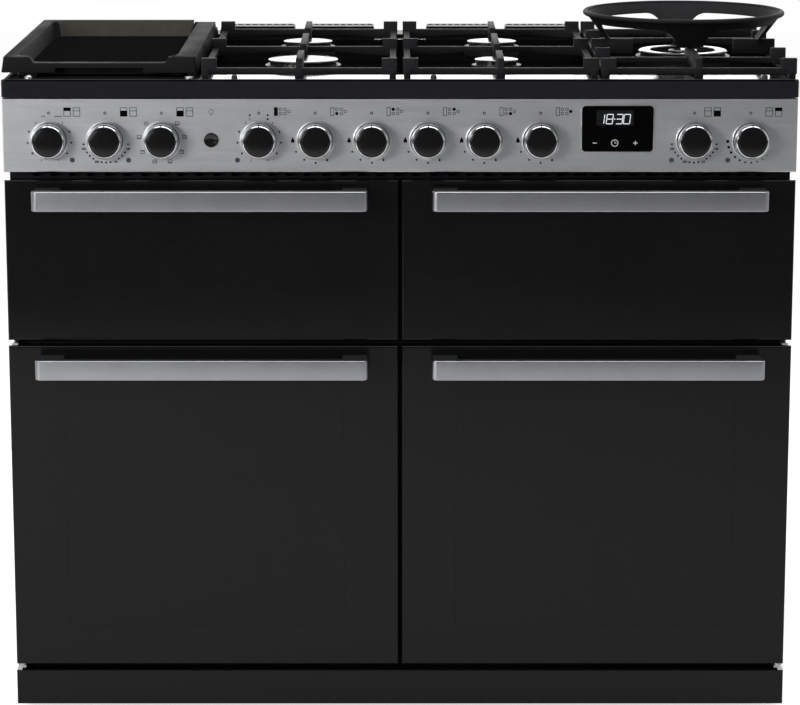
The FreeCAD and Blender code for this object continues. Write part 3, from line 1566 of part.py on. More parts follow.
for word, side in (("left", -1), ("right", 1)):
    save(word + "_oven_door", make_oven_door(side))
    save(word + "_door_liner", make_door_liner(side))
    save(word + "_door_handle", make_handle(side, lower_door_top_z, lower_handle_drop))
    save(word + "_oven_shelves", make_shelves(side))
    save(word + "_fan", [make_fan(side)])
save("rear_rollers", make_rear_rollers())
save("front_feet", make_front_feet())
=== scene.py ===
import json
from math import cos, pi, radians, sin

import bmesh
import bpy
from mathutils import Matrix, Vector


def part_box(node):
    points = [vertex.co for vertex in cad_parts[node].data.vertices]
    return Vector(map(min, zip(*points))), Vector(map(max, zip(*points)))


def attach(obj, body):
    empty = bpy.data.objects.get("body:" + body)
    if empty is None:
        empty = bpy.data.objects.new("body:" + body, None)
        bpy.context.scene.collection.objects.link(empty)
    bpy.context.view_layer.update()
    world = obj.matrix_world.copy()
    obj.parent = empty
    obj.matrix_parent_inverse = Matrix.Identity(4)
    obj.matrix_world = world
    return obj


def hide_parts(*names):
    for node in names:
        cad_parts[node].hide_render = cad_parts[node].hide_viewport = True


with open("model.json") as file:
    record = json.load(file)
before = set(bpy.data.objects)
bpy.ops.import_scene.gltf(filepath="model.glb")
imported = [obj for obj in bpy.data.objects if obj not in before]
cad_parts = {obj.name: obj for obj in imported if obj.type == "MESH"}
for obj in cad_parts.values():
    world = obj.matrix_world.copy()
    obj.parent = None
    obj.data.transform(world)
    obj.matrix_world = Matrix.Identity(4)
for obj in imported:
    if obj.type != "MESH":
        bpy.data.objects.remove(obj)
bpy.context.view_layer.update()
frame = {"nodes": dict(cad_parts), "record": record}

# A free-standing dual fuel range cooker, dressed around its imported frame.
# X runs right, Y away from the viewer and Z up. Meshes are made in millimetres and scaled to metres.
MM = 0.001

# Camera, as the photograph was taken
CAMERA_PLACE = (0.0, -4520.0 * MM, 1413.8 * MM)
CAMERA_DROP = radians(11.86)
CAMERA_LENS_MM = 140.1
CAMERA_SENSOR_MM = 36.0

# Control panel: places of what stands on it, and the sizes of its print
PANEL_FRONT = -275.5
KNOB_Z = 820.5
KNOB_RADIUS = 24.0
KNOB_CAP_RADIUS = 20.2
KNOB_DEPTH = 25.5
KNOB_DOME = 1.8
# The chrome body's rounded shoulder is this wide and deep, and leaves a thin lip round the cap
KNOB_SHOULDER = (3.3, 8.2)
KNOB_WALL = 0.1
SPINDLE_RADIUS = 4.0
SPINDLE_REACH = 30.0
POINTER_WIDTH = 1.3
BEZEL_RADIUS = 26.4
BEZEL_DEPTH = 9.8
KNOBS = {
    "knob_grill": -481.5, "knob_left_oven_heat": -404.2, "knob_left_oven_function": -326.9,
    "knob_hotplate": -193.25, "knob_burner_left_front": -115.95, "knob_burner_left_rear": -38.65,
    "knob_burner_centre_rear": 38.65, "knob_burner_centre_front": 115.95, "knob_burner_wok": 193.25,
    "knob_right_oven": 404.2, "knob_proving_drawer": 481.5,
}
BUTTON_X = -259.5
MARK_DEPTH = 0.12
LINE = 0.75

# Small ring printed over each knob: place beside the axis, height, radius and line
ZERO_MARK = (-0.4, 857.8, 2.0, 1.0)
# Compartment marks: width, height, height of the upper field, place and spacing
OVEN_MARK_SIZE = (9.9, 12.4)
OVEN_MARK_SPLIT = 4.6
OVEN_MARK_Z = 859.3
OVEN_MARK_PITCH = 12.9
OVEN_MARKS = {
    "knob_grill": (25.1, "left_upper"), "knob_left_oven_heat": (25.3, "left_lower"),
    "knob_left_oven_function": (25.4, "left_lower"), "knob_right_oven": (17.9, "right_lower"),
    "knob_proving_drawer": (24.6, "right_upper"),
}
# Hob marks: griddle box and burners as seen from above
HOB_MARK_Z = 859.9
HOB_MARK_GRIDDLE_X = 23.1
HOB_MARK_GRIDDLE = (5.2, 11.8)
HOB_MARK_BURNERS = ((29.3, -2.7), (29.3, 3.2), (35.6, 3.2), (35.6, -2.7), (40.8, 0.2))
# Radius of the filled burner and of the open rings
HOB_MARK_RADII = (2.3, 2.2)
# Scales round the knobs: radius of each ring of marks, and the marks' sizes
DOT = 1.4
HEAT_RING = 30.1
HEAT_ANGLES = (52, 22.5, -7, -37.5, -68)
HEAT_BAR = (0.9, 2.8)
DEGREE_RING = 31.1
DEGREE_NUMBER_RING = 32.6
DEGREE_DOTS = 15
DEGREE_START = -10.7
DEGREE_STEP = 11.33
DEGREE_NUMBERS = ("100", "150", "200", "250")
NUMBER_HEIGHT = 4.0
NUMBER_BOLD = 0.18
PRINT_RING = 31.4
FUNCTION_START = 47.2
FUNCTION_STEP = 39.15
FUNCTION_BOX = (5.9, 5.2)
FUNCTION_BAR = (3.0, 0.9)
FUNCTION_BAR_SHIFT = 1.1
DRAWER_START = 183.3
DRAWER_STEP = 14.9
DRAWER_DOTS = 10
DRAWER_DOT = 2.1
DRAWER_DOT_SHRINK = 0.14
GAS_RING = 31.5
GAS_FLAME_X = -31.3
GAS_FLAMES = (8.4, 4.6)
GAS_LOW_ANGLE = 300
GAS_DOT_ANGLES = (211, 240, 270)
# Rows of dots over the grill knob, and dots over the hotplate knob
GRILL_DOTS = ((-9.0, 2), (8.6, 4))
GRILL_DOT = 0.95
GRILL_DOT_PITCH = 2.8
GRILL_DOTS_Z = 853.3
HOTPLATE_DOTS = ((-12.8, 34.4), (11.8, 34.4), (11.8, 28.9))
HOTPLATE_RING = (-12.8, 28.9)
HOTPLATE_RING_LINE = 0.4
# Lamp sign over the light's button: bulb, and two bars of its cap
BULB_X = BUTTON_X + 0.8
BULB_Z = 859.8
BULB_RADIUS = 3.2
BULB_LINE = 0.55
BULB_BARS = ((855.6, 2.4, 0.6), (854.4, 1.8, 0.5))

# Display: glass, lit window, digits and touch marks
DISPLAY_X = 298.6
DISPLAY_Z = 836.35
DISPLAY_SIZE = (97.6, 63.0)
DISPLAY_FRONT = PANEL_FRONT - 2.0
DIGIT_LOW_Z = 842.7
DIGIT_HEIGHT = 14.2
DIGIT_STROKE = 1.2
DIGIT_LEAN = radians(7)
DIGIT_GAP = 0.25
# Each digit's left foot and width, and the point between the pairs with its radius
DIGIT_PLACES = (("1", 272.4, 7.4), ("8", 281.9, 9.6), ("3", 295.3, 9.6), ("0", 305.4, 9.8))
DIGIT_POINT = (294.3, 0.9)
LIT_DEPTH = 0.08
LIT_GAP = 0.06
WINDOW_X = (269.5, 320.1)
WINDOW_Z = (840.9, 861.9)
WINDOW_DEPTH = 0.05
RIM = 1.3
RIM_DEPTH = 1.6
RIM_EDGE = 0.4
RIM_END = 3.0
ICON_Z = 816.7
# Touch marks: place across, length or radius, and line; the clock's hands as places and sizes
MINUS = (267.3, 5.6, 1.0)
CLOCK = (294.8, 4.9, 0.8)
CLOCK_HANDS = ((0.0, 1.3, 0.7, 3.0), (1.2, 0.0, 2.6, 0.7))
PLUS = (323.1, 5.8, 0.9)
PLUS_LIFT = 0.02

# Handles and doors
HANDLE_BACK = -310.5

# Griddle: heights that hold its cooking face and nothing else that looks up
GRIDDLE_FACE_LOW = 909.7
GRIDDLE_FACE_HIGH = 910.6

# Hob: burners as place from the middle, place from the viewer's side and cap radius
BURNERS = ((-137.0, -121.5, 49.5), (-137.0, 118.5, 36.3), (136.5, 118.5, 36.5), (136.5, -121.5, 31.0))
WOK_BURNER = (410.5, -4.5)
WOK_CAP_RADII = (64.0, 47.0)
WOK_MIDDLE_RADIUS = 21.0
HOB_TOP = 905.0
HOB_FLOOR = 895.0
# Faces this far below the hob's top are the dish's
HOB_SLACK = 0.5
CAP_LOW_Z = 912.0
CAP_HEIGHT = 3.5
# Igniters: gap from the cap, angle and height, low and top radius, the tip and its collar
IGNITER_GAP = 8.0
IGNITERS = ((58, 13.0), (122, 12.0))
IGNITER_RADII = (2.6, 2.0)
IGNITER_TIP = (0.8, 0.5, 2.6)
IGNITER_FOOT = (3.6, 2.0)
# Studs in front: a peg and a bush for the griddle, and rubber stops
STUD_Y = -268.0
RUBBER_STUD_Y = -266.5
RUBBER_STUDS = (46.0, -227.0, 500.0)
PEG_X = -509.0
BUSH_X = -289.0
DISH_HALF_WIDTH = 531.5

# Casing: screw heads along the back and the sides
BACK_FLANGE = 2.0
SCREW_RADII = (4.0, 2.8)
SCREW_HEAD = 1.7
SCREW_RISE = 0.6
BACK_SCREWS_X = (-520.0, -260.0, 0.0, 260.0, 520.0)
BACK_SCREWS_Z = (75.0, 320.0, 560.0, 800.0)
SIDE_SCREWS_Y = (-215.0, 30.0, 285.0)
SIDE_SCREWS_Z = (72.0, 850.0)

# Dark sheet behind the cooling gap, put there as painted shade, and the ovens' lamps
SHADE_HALF_WIDTH = 530.0
SHADE_Y = (-240.0, -239.0)
SHADE_Z = (764.0, 779.0)
# Each oven lamp: place from the middle, place along the depth, and height
OVEN_LAMP = (430.0, 196.0, 430.0)


def linear(shade):
    """An sRGB hex value as linear red, green, blue and alpha."""
    channels = [int(shade[start:start + 2], 16) / 255 for start in (1, 3, 5)]
    return tuple(c / 12.92 if c <= 0.04045 else ((c + 0.055) / 1.055) ** 2.4 for c in channels) + (1.0,)


def add(tree, kind, inputs, **settings):
    """Adds a node with its settings; inputs holds a value or another node's socket by name or number."""
    node = tree.nodes.new("ShaderNode" + kind)
    for name, value in settings.items():
        setattr(node, name, value)
    for key, value in inputs.items():
        socket = node.inputs[key]
        if isinstance(value, bpy.types.NodeSocket):
            tree.links.new(value, socket)
        else:
            socket.default_value = value
    return node


def new_material(name, build):
    """A material whose node tree is made by build, which returns the shader's socket."""
    material = bpy.data.materials.new(name)
    material.use_nodes = True
    tree = material.node_tree
    tree.nodes.clear()
    add(tree, "OutputMaterial", {"Surface": build(tree)})
    return material


def pattern(tree, size, detail=2.0):
    """Noise from 0 to 1 whose grain has this size in millimetres along X, Y and Z."""
    place = add(tree, "TexCoord", {}).outputs["Object"]
    spaced = add(tree, "Mapping", {"Vector": place, "Scale": [1 / (step * MM) for step in size]})
    noise = add(tree, "TexNoise", {"Vector": spaced.outputs[0], "Scale": 1.0, "Detail": detail})
    return add(tree, "MapRange", {"Value": noise.outputs[0], "From Min": 0.2, "From Max": 0.8}).outputs[0]


def between(tree, share, low, high):
    """Two colours mixed, or two numbers spread, by a share from 0 to 1."""
    if isinstance(low, str):
        mixed = {"Fac": share, "Color1": linear(low), "Color2": linear(high)}
        return add(tree, "MixRGB", mixed).outputs[0]
    return add(tree, "MapRange", {"Value": share, "To Min": low, "To Max": high}).outputs[0]


def relief(tree, share, depth):
    return add(tree, "Bump", {"Height": share, "Distance": depth * MM, "Strength": 1.0}).outputs[0]


def surface(name, shades, gloss, size, depth, detail=2.0, cloud=None, **shader):
    """A finish whose colour, roughness and height follow one grain, and its roughness a wider cloud."""
    def build(tree):
        grain = pattern(tree, size, detail)
        wide = pattern(tree, cloud) if cloud else grain
        inputs = {"Base Color": between(tree, grain, *shades), "Roughness": between(tree, wide, *gloss)}
        if depth:
            inputs["Normal"] = relief(tree, grain, depth)
        inputs.update({key.replace("_", " "): value for key, value in shader.items()})
        return add(tree, "BsdfPrincipled", inputs).outputs[0]
    return new_material(name, build)


# Stainless sheet, brushed along its length: long fine lines and a broad soft sheen.
# The real lines are a quarter of a millimetre apart, and are drawn coarser to show.
panel_steel = surface("panel_stainless_brushed", ("#c3c5c8", "#cccdcf"), (0.33, 0.38), (60, 60, 1.4), 0.003,
                      Metallic=1.0, Anisotropic=0.5)
# Stainless ring pressed round each knob, satin from its tool
bezel_steel = surface("bezel_stainless_satin", ("#b9babc", "#c4c5c7"), (0.28, 0.34), (3, 3, 3), 0.004,
                      Metallic=1.0)
# Extruded aluminium, bead-blasted and anodised: an even soft gloss with a faint grain
handle_metal = surface("handle_aluminium_anodised", ("#a3a4a8", "#a8a9ad"), (0.285, 0.3), (40, 40, 40), 0,
                       Metallic=1.0)
# Dark powder-coated end bracket under each bar
bracket_paint = surface("bracket_powder_coat", ("#1f2022", "#292a2c"), (0.35, 0.5), (1.4, 1.4, 1.4), 0.03)
# Vitreous enamel on pressed steel: deep gloss with a faint orange peel
hob_enamel = surface("hob_vitreous_enamel", ("#121215", "#18181b"), (0.05, 0.11), (9, 9, 9), 0.02,
                     cloud=(60, 60, 60))
# The dish round the burners: the same enamel, a little waved by its pressing, but painted darker as painted
# shade in the recess, and set to give no reflection
dish_painted_shade = surface("hob_recess_enamel_painted_shade", ("#060607", "#0b0b0c"), (0.3, 0.4), (14, 14, 14), 0.01,
                   Specular_IOR_Level=0.0)
trim_enamel = surface("trim_enamel_satin", ("#0a0a0b", "#141415"), (0.29, 0.36), (6, 6, 6), 0.01,
                      Specular_IOR_Level=0.015)
# Side sheets are painted steel with a fine orange peel
casing_paint = surface("casing_powder_coat", ("#0b0b0c", "#151516"), (0.34, 0.46), (1.8, 1.8, 1.8), 0.05,
                       cloud=(120, 120, 120))
# Cast iron under matt enamel: coarse sandy grain that catches the light
cast_iron = surface("support_cast_iron_enamelled", ("#0a0a0c", "#202023"), (0.5, 0.75), (1.8, 1.8, 1.8), 0.3,
                    detail=4.0, Specular_IOR_Level=0.12)
# Griddle: the same iron, smoother, its gloss varying in wide patches
griddle_iron = surface("griddle_cast_iron", ("#161617", "#1f1f20"), (0.45, 0.6), (2.0, 2.0, 2.0), 0.03,
                       detail=4.0, cloud=(70, 70, 70), Specular_IOR_Level=0.005)
# Cooking face in the griddle's well: ground, seasoned and quite dull
griddle_face = surface("griddle_face_seasoned", ("#0e0e0f", "#151516"), (0.6, 0.7), (2.0, 2.0, 2.0), 0.02,
                       detail=4.0, Specular_IOR_Level=0.0)
# Rear wall of that well: its lighter brown-grey colour is a painted highlight, standing for the light the
# wall facing the viewer catches
rear_wall_painted_highlight = surface("griddle_rear_painted_highlight", ("#373530", "#403e3a"), (0.5, 0.6), (9, 9, 9), 0.02,
                       detail=4.0, Specular_IOR_Level=0.005)
# Aluminium burner head, die-cast and tumbled
burner_metal = surface("burner_aluminium_cast", ("#3c3d3f", "#505254"), (0.38, 0.55), (1.2, 1.2, 1.2), 0.05,
                       Metallic=1.0)
# Burner cap: gloss black enamel on steel
cap_enamel = surface("cap_vitreous_enamel", ("#060606", "#0d0d0d"), (0.10, 0.18), (3, 3, 3), 0.02)
# Chrome plate over brass and wire: near mirror with faint wipe marks
chrome = surface("knob_chrome_plate", ("#d5d6d8", "#dedfe0"), (0.05, 0.10), (14, 14, 14), 0.002, Metallic=1.0)
wire_chrome = surface("shelf_chrome_wire", ("#b9babc", "#c9cacb"), (0.10, 0.22), (8, 8, 8), 0.01,
                      Metallic=1.0)
# Knob cap: polished black phenolic moulding
knob_plastic = surface("knob_phenolic_black", ("#050506", "#09090a"), (0.17, 0.2), (5, 5, 5), 0.001,
                       Specular_IOR_Level=0.35)
button_plastic = surface("button_abs_gloss", ("#060606", "#0a0a0a"), (0.06, 0.10), (5, 5, 5), 0.005)
# Smoked acrylic lamp lens
lamp_acrylic = surface("lamp_acrylic_smoked", ("#343a3e", "#454b50"), (0.08, 0.14), (2, 2, 2), 0.01)
# Black float glass of the display
display_glass = surface("display_glass_black", ("#010101", "#020202"), (0.04, 0.07), (40, 40, 40), 0.001,
                        Specular_IOR_Level=0.1)
# Glass ceramic with a fine dotted screen print
hotplate_glass = surface("hotplate_glass_ceramic", ("#0a0a0b", "#2b2b2d"), (0.06, 0.12), (1.5, 1.5, 1.5),
                         0.003, detail=0.0)
# Grey enamel with white speckle, as ovens have
oven_enamel = surface("oven_enamel_speckled", ("#2a2d33", "#54585f"), (0.14, 0.24), (1.3, 1.3, 1.3), 0.02,
                      detail=3.0, cloud=(45, 45, 45))
# Rolled bright steel sheet
bright_steel = surface("fan_steel_rolled", ("#a7a9ab", "#bcbec0"), (0.28, 0.38), (50, 2, 2), 0.01,
                       Metallic=1.0)
# Heating rod: oxidised nickel steel, blotched brown-grey from heat
element_steel = surface("element_steel_oxidised", ("#3d3a38", "#5c5550"), (0.38, 0.6), (11, 11, 11), 0.03,
                        Metallic=0.8)
tap_brass = surface("tap_brass_cast", ("#a98a4d", "#c6a766"), (0.28, 0.45), (4, 4, 4), 0.03, Metallic=1.0)
seal_fibre = surface("seal_silicone_rubber", ("#161616", "#242424"), (0.6, 0.8), (1.2, 1.2, 1.2), 0.15)
roller_nylon = surface("roller_nylon_moulded", ("#101011", "#1a1a1b"), (0.4, 0.55), (2.5, 2.5, 2.5), 0.04)
print_ink = surface("panel_print_ink", ("#020202", "#050505"), (0.5, 0.65), (1, 1, 1), 0.005,
                    Specular_IOR_Level=0.03)
ceramic = surface("igniter_ceramic_glazed", ("#d9d6cf", "#efece6"), (0.2, 0.35), (3, 3, 3), 0.01)
screw_zinc = surface("screw_steel_zinc_plated", ("#9c9fa3", "#b9bcc0"), (0.28, 0.36), (2, 2, 2), 0.01,
                     Metallic=1.0)
lamp_glass = surface("oven_lamp_glass_frosted", ("#cfd4d4", "#e6e9e9"), (0.28, 0.4), (2, 2, 2), 0.02)


def galvanised(tree):
    """Spangles: flat crystals about a centimetre wide, each with its own shade."""
    place = add(tree, "TexCoord", {}).outputs["Object"]
    cells = add(tree, "TexVoronoi", {"Vector": place, "Scale": 1 / (9 * MM), "Randomness": 1.0})
    shade = add(tree, "SeparateColor", {"Color": cells.outputs["Color"]}).outputs[0]
    fine = pattern(tree, (2, 2, 2))
    return add(tree, "BsdfPrincipled", {
        "Base Color": between(tree, shade, "#a0a4a7", "#b0b4b7"),
        "Roughness": between(tree, shade, 0.33, 0.42), "Metallic": 1.0,
        "Normal": relief(tree, fine, 0.01)}).outputs[0]


# Hot-dip galvanised steel of the chassis and the back
zinc_sheet = new_material("chassis_steel_galvanised", galvanised)


def door_enamel(tree):
    """Black door face, lightly waved, its gloss varying in wide soft patches."""
    fine = pattern(tree, (7, 7, 7))
    wide = pattern(tree, (160, 160, 90))
    return add(tree, "BsdfPrincipled", {
        "Base Color": between(tree, fine, "#0b0b0c", "#101011"), "Roughness": between(tree, wide, 0.10, 0.17),
        "Specular IOR Level": 0.19, "Normal": relief(tree, fine, 0.004)}).outputs[0]


# Toughened glass and enamel of the doors: black, glossy, lightly waved
door_black = new_material("door_enamel_black_gloss", door_enamel)


def lit(shade, strength):
    def build(tree):
        grain = pattern(tree, (0.8, 0.8, 0.8))
        colour = between(tree, grain, shade, "#ffffff")
        return add(tree, "Emission", {"Color": colour, "Strength": strength}).outputs[0]
    return build


# Lit segments behind the display glass, and the grey ghost of the ones that are off
segment_lit = new_material("display_segment_lit", lit("#f4f8ff", 0.85))
icon_lit = new_material("display_icon_lit", lit("#c9ccd0", 0.75))
window_film = surface("display_window_film", ("#141516", "#1a1b1d"), (0.12, 0.2), (2, 2, 2), 0.003,
                      Specular_IOR_Level=0.1)
# Matt black paint of the frame behind the doors, also on the dark sheet that is painted shade in its cooling
# gap
frame_paint = surface("frame_powder_coat_matt", ("#030303", "#060606"), (0.55, 0.7), (1.8, 1.8, 1.8), 0.03,
                      Specular_IOR_Level=0.15)

PAINTS = {
    "black_enamel": door_black, "black_paint": casing_paint, "brushed_stainless": panel_steel,
    "galvanised_steel": zinc_sheet, "glass_ceramic": hotplate_glass, "black_glass": display_glass,
    "polished_chrome": chrome, "lamp_lens": lamp_acrylic, "grey_enamel": oven_enamel,
    "element_steel": element_steel, "bright_steel": bright_steel, "chromed_wire": wire_chrome,
    "burner_aluminium": burner_metal, "cap_enamel": cap_enamel, "tap_brass": tap_brass,
    "seal_rubber": seal_fibre, "button_plastic": button_plastic, "cast_iron": cast_iron,
    "satin_aluminium": handle_metal, "roller_plastic": roller_nylon,
}
OWN_PAINTS = {"hob_tray": hob_enamel, "rear_vent_trim": trim_enamel, "plinth": door_black,
              "griddle_plate": griddle_iron, "front_frame": frame_paint}
slots = {row["node"]: row["material_slot"] for row in frame["record"]["subparts"]}
for name, node in frame["nodes"].items():
    node.data.materials.clear()
    node.data.materials.append(OWN_PAINTS.get(name, PAINTS[slots[name]]))
tray = frame["nodes"]["hob_tray"]
tray.data.materials.append(dish_painted_shade)
# Faces of the recessed dish take the darker enamel, which is painted shade
for polygon in tray.data.polygons:
    below_top = polygon.center.z < (HOB_TOP - HOB_SLACK) * MM
    seen_side = polygon.normal.z > 0.9 or polygon.center.z > HOB_FLOOR * MM
    if below_top and seen_side and abs(polygon.center.x) < DISH_HALF_WIDTH * MM:
        polygon.material_index = 1


def finished(name, bm, body, slot, *materials, replaces=(), angle=35):
    """Makes a piece in metres from a mesh in millimetres, and rides it on its body."""
    bmesh.ops.scale(bm, vec=(MM, MM, MM), verts=bm.verts)
    mesh = bpy.data.meshes.new(name)
    bm.to_mesh(mesh)
    bm.free()
    for material in materials:
        mesh.materials.append(material)
    mesh.shade_smooth()
    mesh.set_sharp_from_angle(angle=radians(angle))
    piece = bpy.data.objects.new(name, mesh)
    bpy.context.scene.collection.objects.link(piece)
    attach(piece, body)
    if replaces:
        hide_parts(*replaces)
    return piece


def spin(bm, profile, centre, axis, closed=False, steps=72):
    """Turns a profile of (radius, height along the axis) points about an axis through a centre."""
    along = Vector(axis)
    out = Vector((1, 0, 0))
    verts = [bm.verts.new(Vector(centre) + out * radius + along * height) for radius, height in profile]
    edges = [bm.edges.new(pair) for pair in zip(verts, verts[1:])]
    if closed:
        edges.append(bm.edges.new((verts[-1], verts[0])))
    made = bmesh.ops.spin(bm, geom=verts + edges, cent=centre, axis=axis, angle=2 * pi, steps=steps,
                          use_merge=True)
    return made


def tidy(bm):
    """Closes poles and points every face outwards."""
    bmesh.ops.remove_doubles(bm, verts=bm.verts, dist=0.001)
    bmesh.ops.recalc_face_normals(bm, faces=bm.faces)
    return bm


def slab(bm, low, high, edge=0.0, segments=2):
    """A block between two corners, with rounded edges."""
    size = [top - bottom for bottom, top in zip(low, high)]
    middle = [(top + bottom) / 2 for bottom, top in zip(low, high)]
    place = Matrix.Translation(middle) @ Matrix.Diagonal((*size, 1))
    made = bmesh.ops.create_cube(bm, size=1, matrix=place)
    if edge:
        edges = list({side for vert in made["verts"] for side in vert.link_edges})
        bmesh.ops.bevel(bm, geom=edges, offset=edge, segments=segments, profile=0.5, affect="EDGES",
                        material=-1)


def post(bm, centre, radius, depth, axis="Z", top=None, segments=32):
    """A round bar standing on its centre, along an axis; it may taper to another radius."""
    turn = Matrix.Identity(4) if axis == "Z" else Matrix.Rotation(pi / 2, 4, {"Y": "X", "X": "Y"}[axis])
    place = Matrix.Translation(centre) @ turn @ Matrix.Translation((0, 0, depth / 2))
    bmesh.ops.create_cone(bm, cap_ends=True, segments=segments, radius1=radius,
                          radius2=radius if top is None else top, depth=depth, matrix=place)


def softened(node, width, body, *materials, second=None, angle=30, segments=2):
    """A copy of a CAD piece with its flats joined up and its sharp edges rounded."""
    bm = bmesh.new()
    bm.from_mesh(frame["nodes"][node].data)
    bmesh.ops.scale(bm, vec=(1 / MM, 1 / MM, 1 / MM), verts=bm.verts)
    bmesh.ops.remove_doubles(bm, verts=bm.verts, dist=0.001)
    bmesh.ops.dissolve_limit(bm, angle_limit=radians(0.6), verts=bm.verts, edges=bm.edges)
    sharp = [edge for edge in bm.edges if edge.is_manifold and edge.calc_face_angle() > radians(angle)]
    bmesh.ops.bevel(bm, geom=sharp, offset=width, segments=segments, profile=0.5, affect="EDGES",
                    material=-1, clamp_overlap=True)
    if second:
        for face in bm.faces:
            face.material_index = second(face.calc_center_median(), face.normal)
    return finished(node + "_dressed", bm, body, slots[node], *materials, replaces=[node], angle=45)


bodies = {node: body for body, rows in frame["record"]["behaviour"]["bodies"].items() for node in rows}


def make_knob(name, x):
    """Turned chrome body with its spindle, and the black cap with its pointer."""
    base = PANEL_FRONT - 0.5
    centre = (x, base, KNOB_Z)
    forward = (0, -1, 0)
    body = bmesh.new()
    narrow, deep = KNOB_SHOULDER
    inner = KNOB_RADIUS - narrow - KNOB_WALL
    shoulder = [(inner + narrow * cos(radians(turn)), KNOB_DEPTH - deep + deep * sin(radians(turn)))
                for turn in range(0, 91, 15)]
    spin(body, [(0, -SPINDLE_REACH), (SPINDLE_RADIUS, -SPINDLE_REACH), (SPINDLE_RADIUS, 0),
                (KNOB_RADIUS - 0.6, 0), (KNOB_RADIUS, 0.6), (KNOB_RADIUS, 9.0)] + shoulder
         + [(KNOB_CAP_RADIUS, KNOB_DEPTH - 1.0), (0, KNOB_DEPTH - 1.0)], centre, forward)
    finished(name + "_body", tidy(body), name, "polished_chrome", chrome, replaces=[name])
    cap = bmesh.new()
    top = KNOB_DEPTH + KNOB_DOME
    dome = [(KNOB_CAP_RADIUS * share, top - 1.5 * share ** 2) for share in (0.94, 0.8, 0.6, 0.4, 0.2, 0)]
    skirt = [(0, KNOB_DEPTH - 1.2), (KNOB_CAP_RADIUS, KNOB_DEPTH - 1.2), (KNOB_CAP_RADIUS, KNOB_DEPTH - 0.2)]
    spin(cap, skirt + dome, centre, forward)
    slab(cap, (x - POINTER_WIDTH / 2, base - KNOB_DEPTH - 0.1, KNOB_Z + KNOB_CAP_RADIUS - 0.8),
         (x + POINTER_WIDTH / 2, base - KNOB_DEPTH + 8.0, KNOB_Z + KNOB_RADIUS), 0.2)
    finished(name + "_cap", tidy(cap), name, "button_plastic", knob_plastic)


def make_bezels():
    bm = bmesh.new()
    for x in KNOBS.values():
        inner = KNOB_RADIUS + 0.5
        outer = BEZEL_RADIUS
        spin(bm, [(inner, 0), (inner, BEZEL_DEPTH - 0.4), (inner + 0.4, BEZEL_DEPTH),
                  (outer - 1.0, BEZEL_DEPTH), (outer - 0.3, BEZEL_DEPTH - 0.4), (outer, BEZEL_DEPTH - 1.3),
                  (outer, 0)],
             (x, PANEL_FRONT, KNOB_Z), (0, -1, 0), closed=True)
    finished("knob_bezel_rings", tidy(bm), "cooker", "polished_chrome", bezel_steel, replaces=["knob_bezels"])


def stamp_box(bm, x, z, width, height, y=PANEL_FRONT, depth=MARK_DEPTH):
    """Filled mark, centred on x and z."""
    slab(bm, (x - width / 2, y - depth, z - height / 2), (x + width / 2, y, z + height / 2))


def stamp_frame(bm, x, z, width, height, line=LINE):
    """Outlined box."""
    for side in (-1, 1):
        stamp_box(bm, x + side * (width - line) / 2, z, line, height)
        stamp_box(bm, x, z + side * (height - line) / 2, width, line)


def stamp_dot(bm, x, z, radius, y=PANEL_FRONT, depth=MARK_DEPTH):
    post(bm, (x, y, z), radius, depth, axis="Y", segments=24)


def stamp_ring(bm, x, z, radius, line=LINE, y=PANEL_FRONT, depth=MARK_DEPTH):
    spin(bm, [(radius - line, 0), (radius, 0), (radius, depth), (radius - line, depth)],
         (x, y, z), (0, -1, 0), closed=True, steps=24)


def stamp_flame(bm, x, z, height):
    """A pointed flame with a notch in its foot."""
    right = ((0.16, 0.28), (0.2, 0.1), (0.3, 0.0), (0.3, -0.26), (0.18, -0.5), (0.07, -0.36))
    left = [(-across, up) for across, up in reversed(right)]
    outline = ((0, 0.5), *right, (0, -0.46), *left)
    rings = [[bm.verts.new((x + across * height, y, z + up * height)) for across, up in outline]
             for y in (PANEL_FRONT, PANEL_FRONT - MARK_DEPTH)]
    for ring in rings:
        bm.faces.new(ring)
    for index in range(len(outline)):
        near, far = (index, (index + 1) % len(outline))
        bm.faces.new((rings[0][near], rings[0][far], rings[1][far], rings[1][near]))


def stamp_ovens(bm, x, filled):
    """Two outlined boxes, each split near its top, with one field filled in."""
    wide, tall = OVEN_MARK_SIZE
    split, z = OVEN_MARK_SPLIT, OVEN_MARK_Z
    for index, middle in enumerate((x, x + OVEN_MARK_PITCH)):
        stamp_frame(bm, middle, z, wide, tall)
        stamp_box(bm, middle, z + tall / 2 - split, wide, LINE)
        if filled == ("left", "right")[index] + "_upper":
            stamp_box(bm, middle, z + tall / 2 - split / 2, wide, split)
        if filled == ("left", "right")[index] + "_lower":
            stamp_box(bm, middle, z - split / 2, wide, tall - split)


def stamp_hob(bm, x, filled):
    """The hob from above: griddle box and five burners, one of them filled in."""
    stamp = stamp_frame if filled else stamp_box
    stamp(bm, x + HOB_MARK_GRIDDLE_X, HOB_MARK_Z, *HOB_MARK_GRIDDLE)
    full, open_ring = HOB_MARK_RADII
    for index, (across, up) in enumerate(HOB_MARK_BURNERS, 1):
        if filled == index:
            stamp_dot(bm, x + across, HOB_MARK_Z + up, full)
        else:
            stamp_ring(bm, x + across, HOB_MARK_Z + up, open_ring)


def around(x, radius, degrees):
    """A place round a knob, at an angle counted anticlockwise from three o'clock."""
    return x + radius * cos(radians(degrees)), KNOB_Z + radius * sin(radians(degrees))


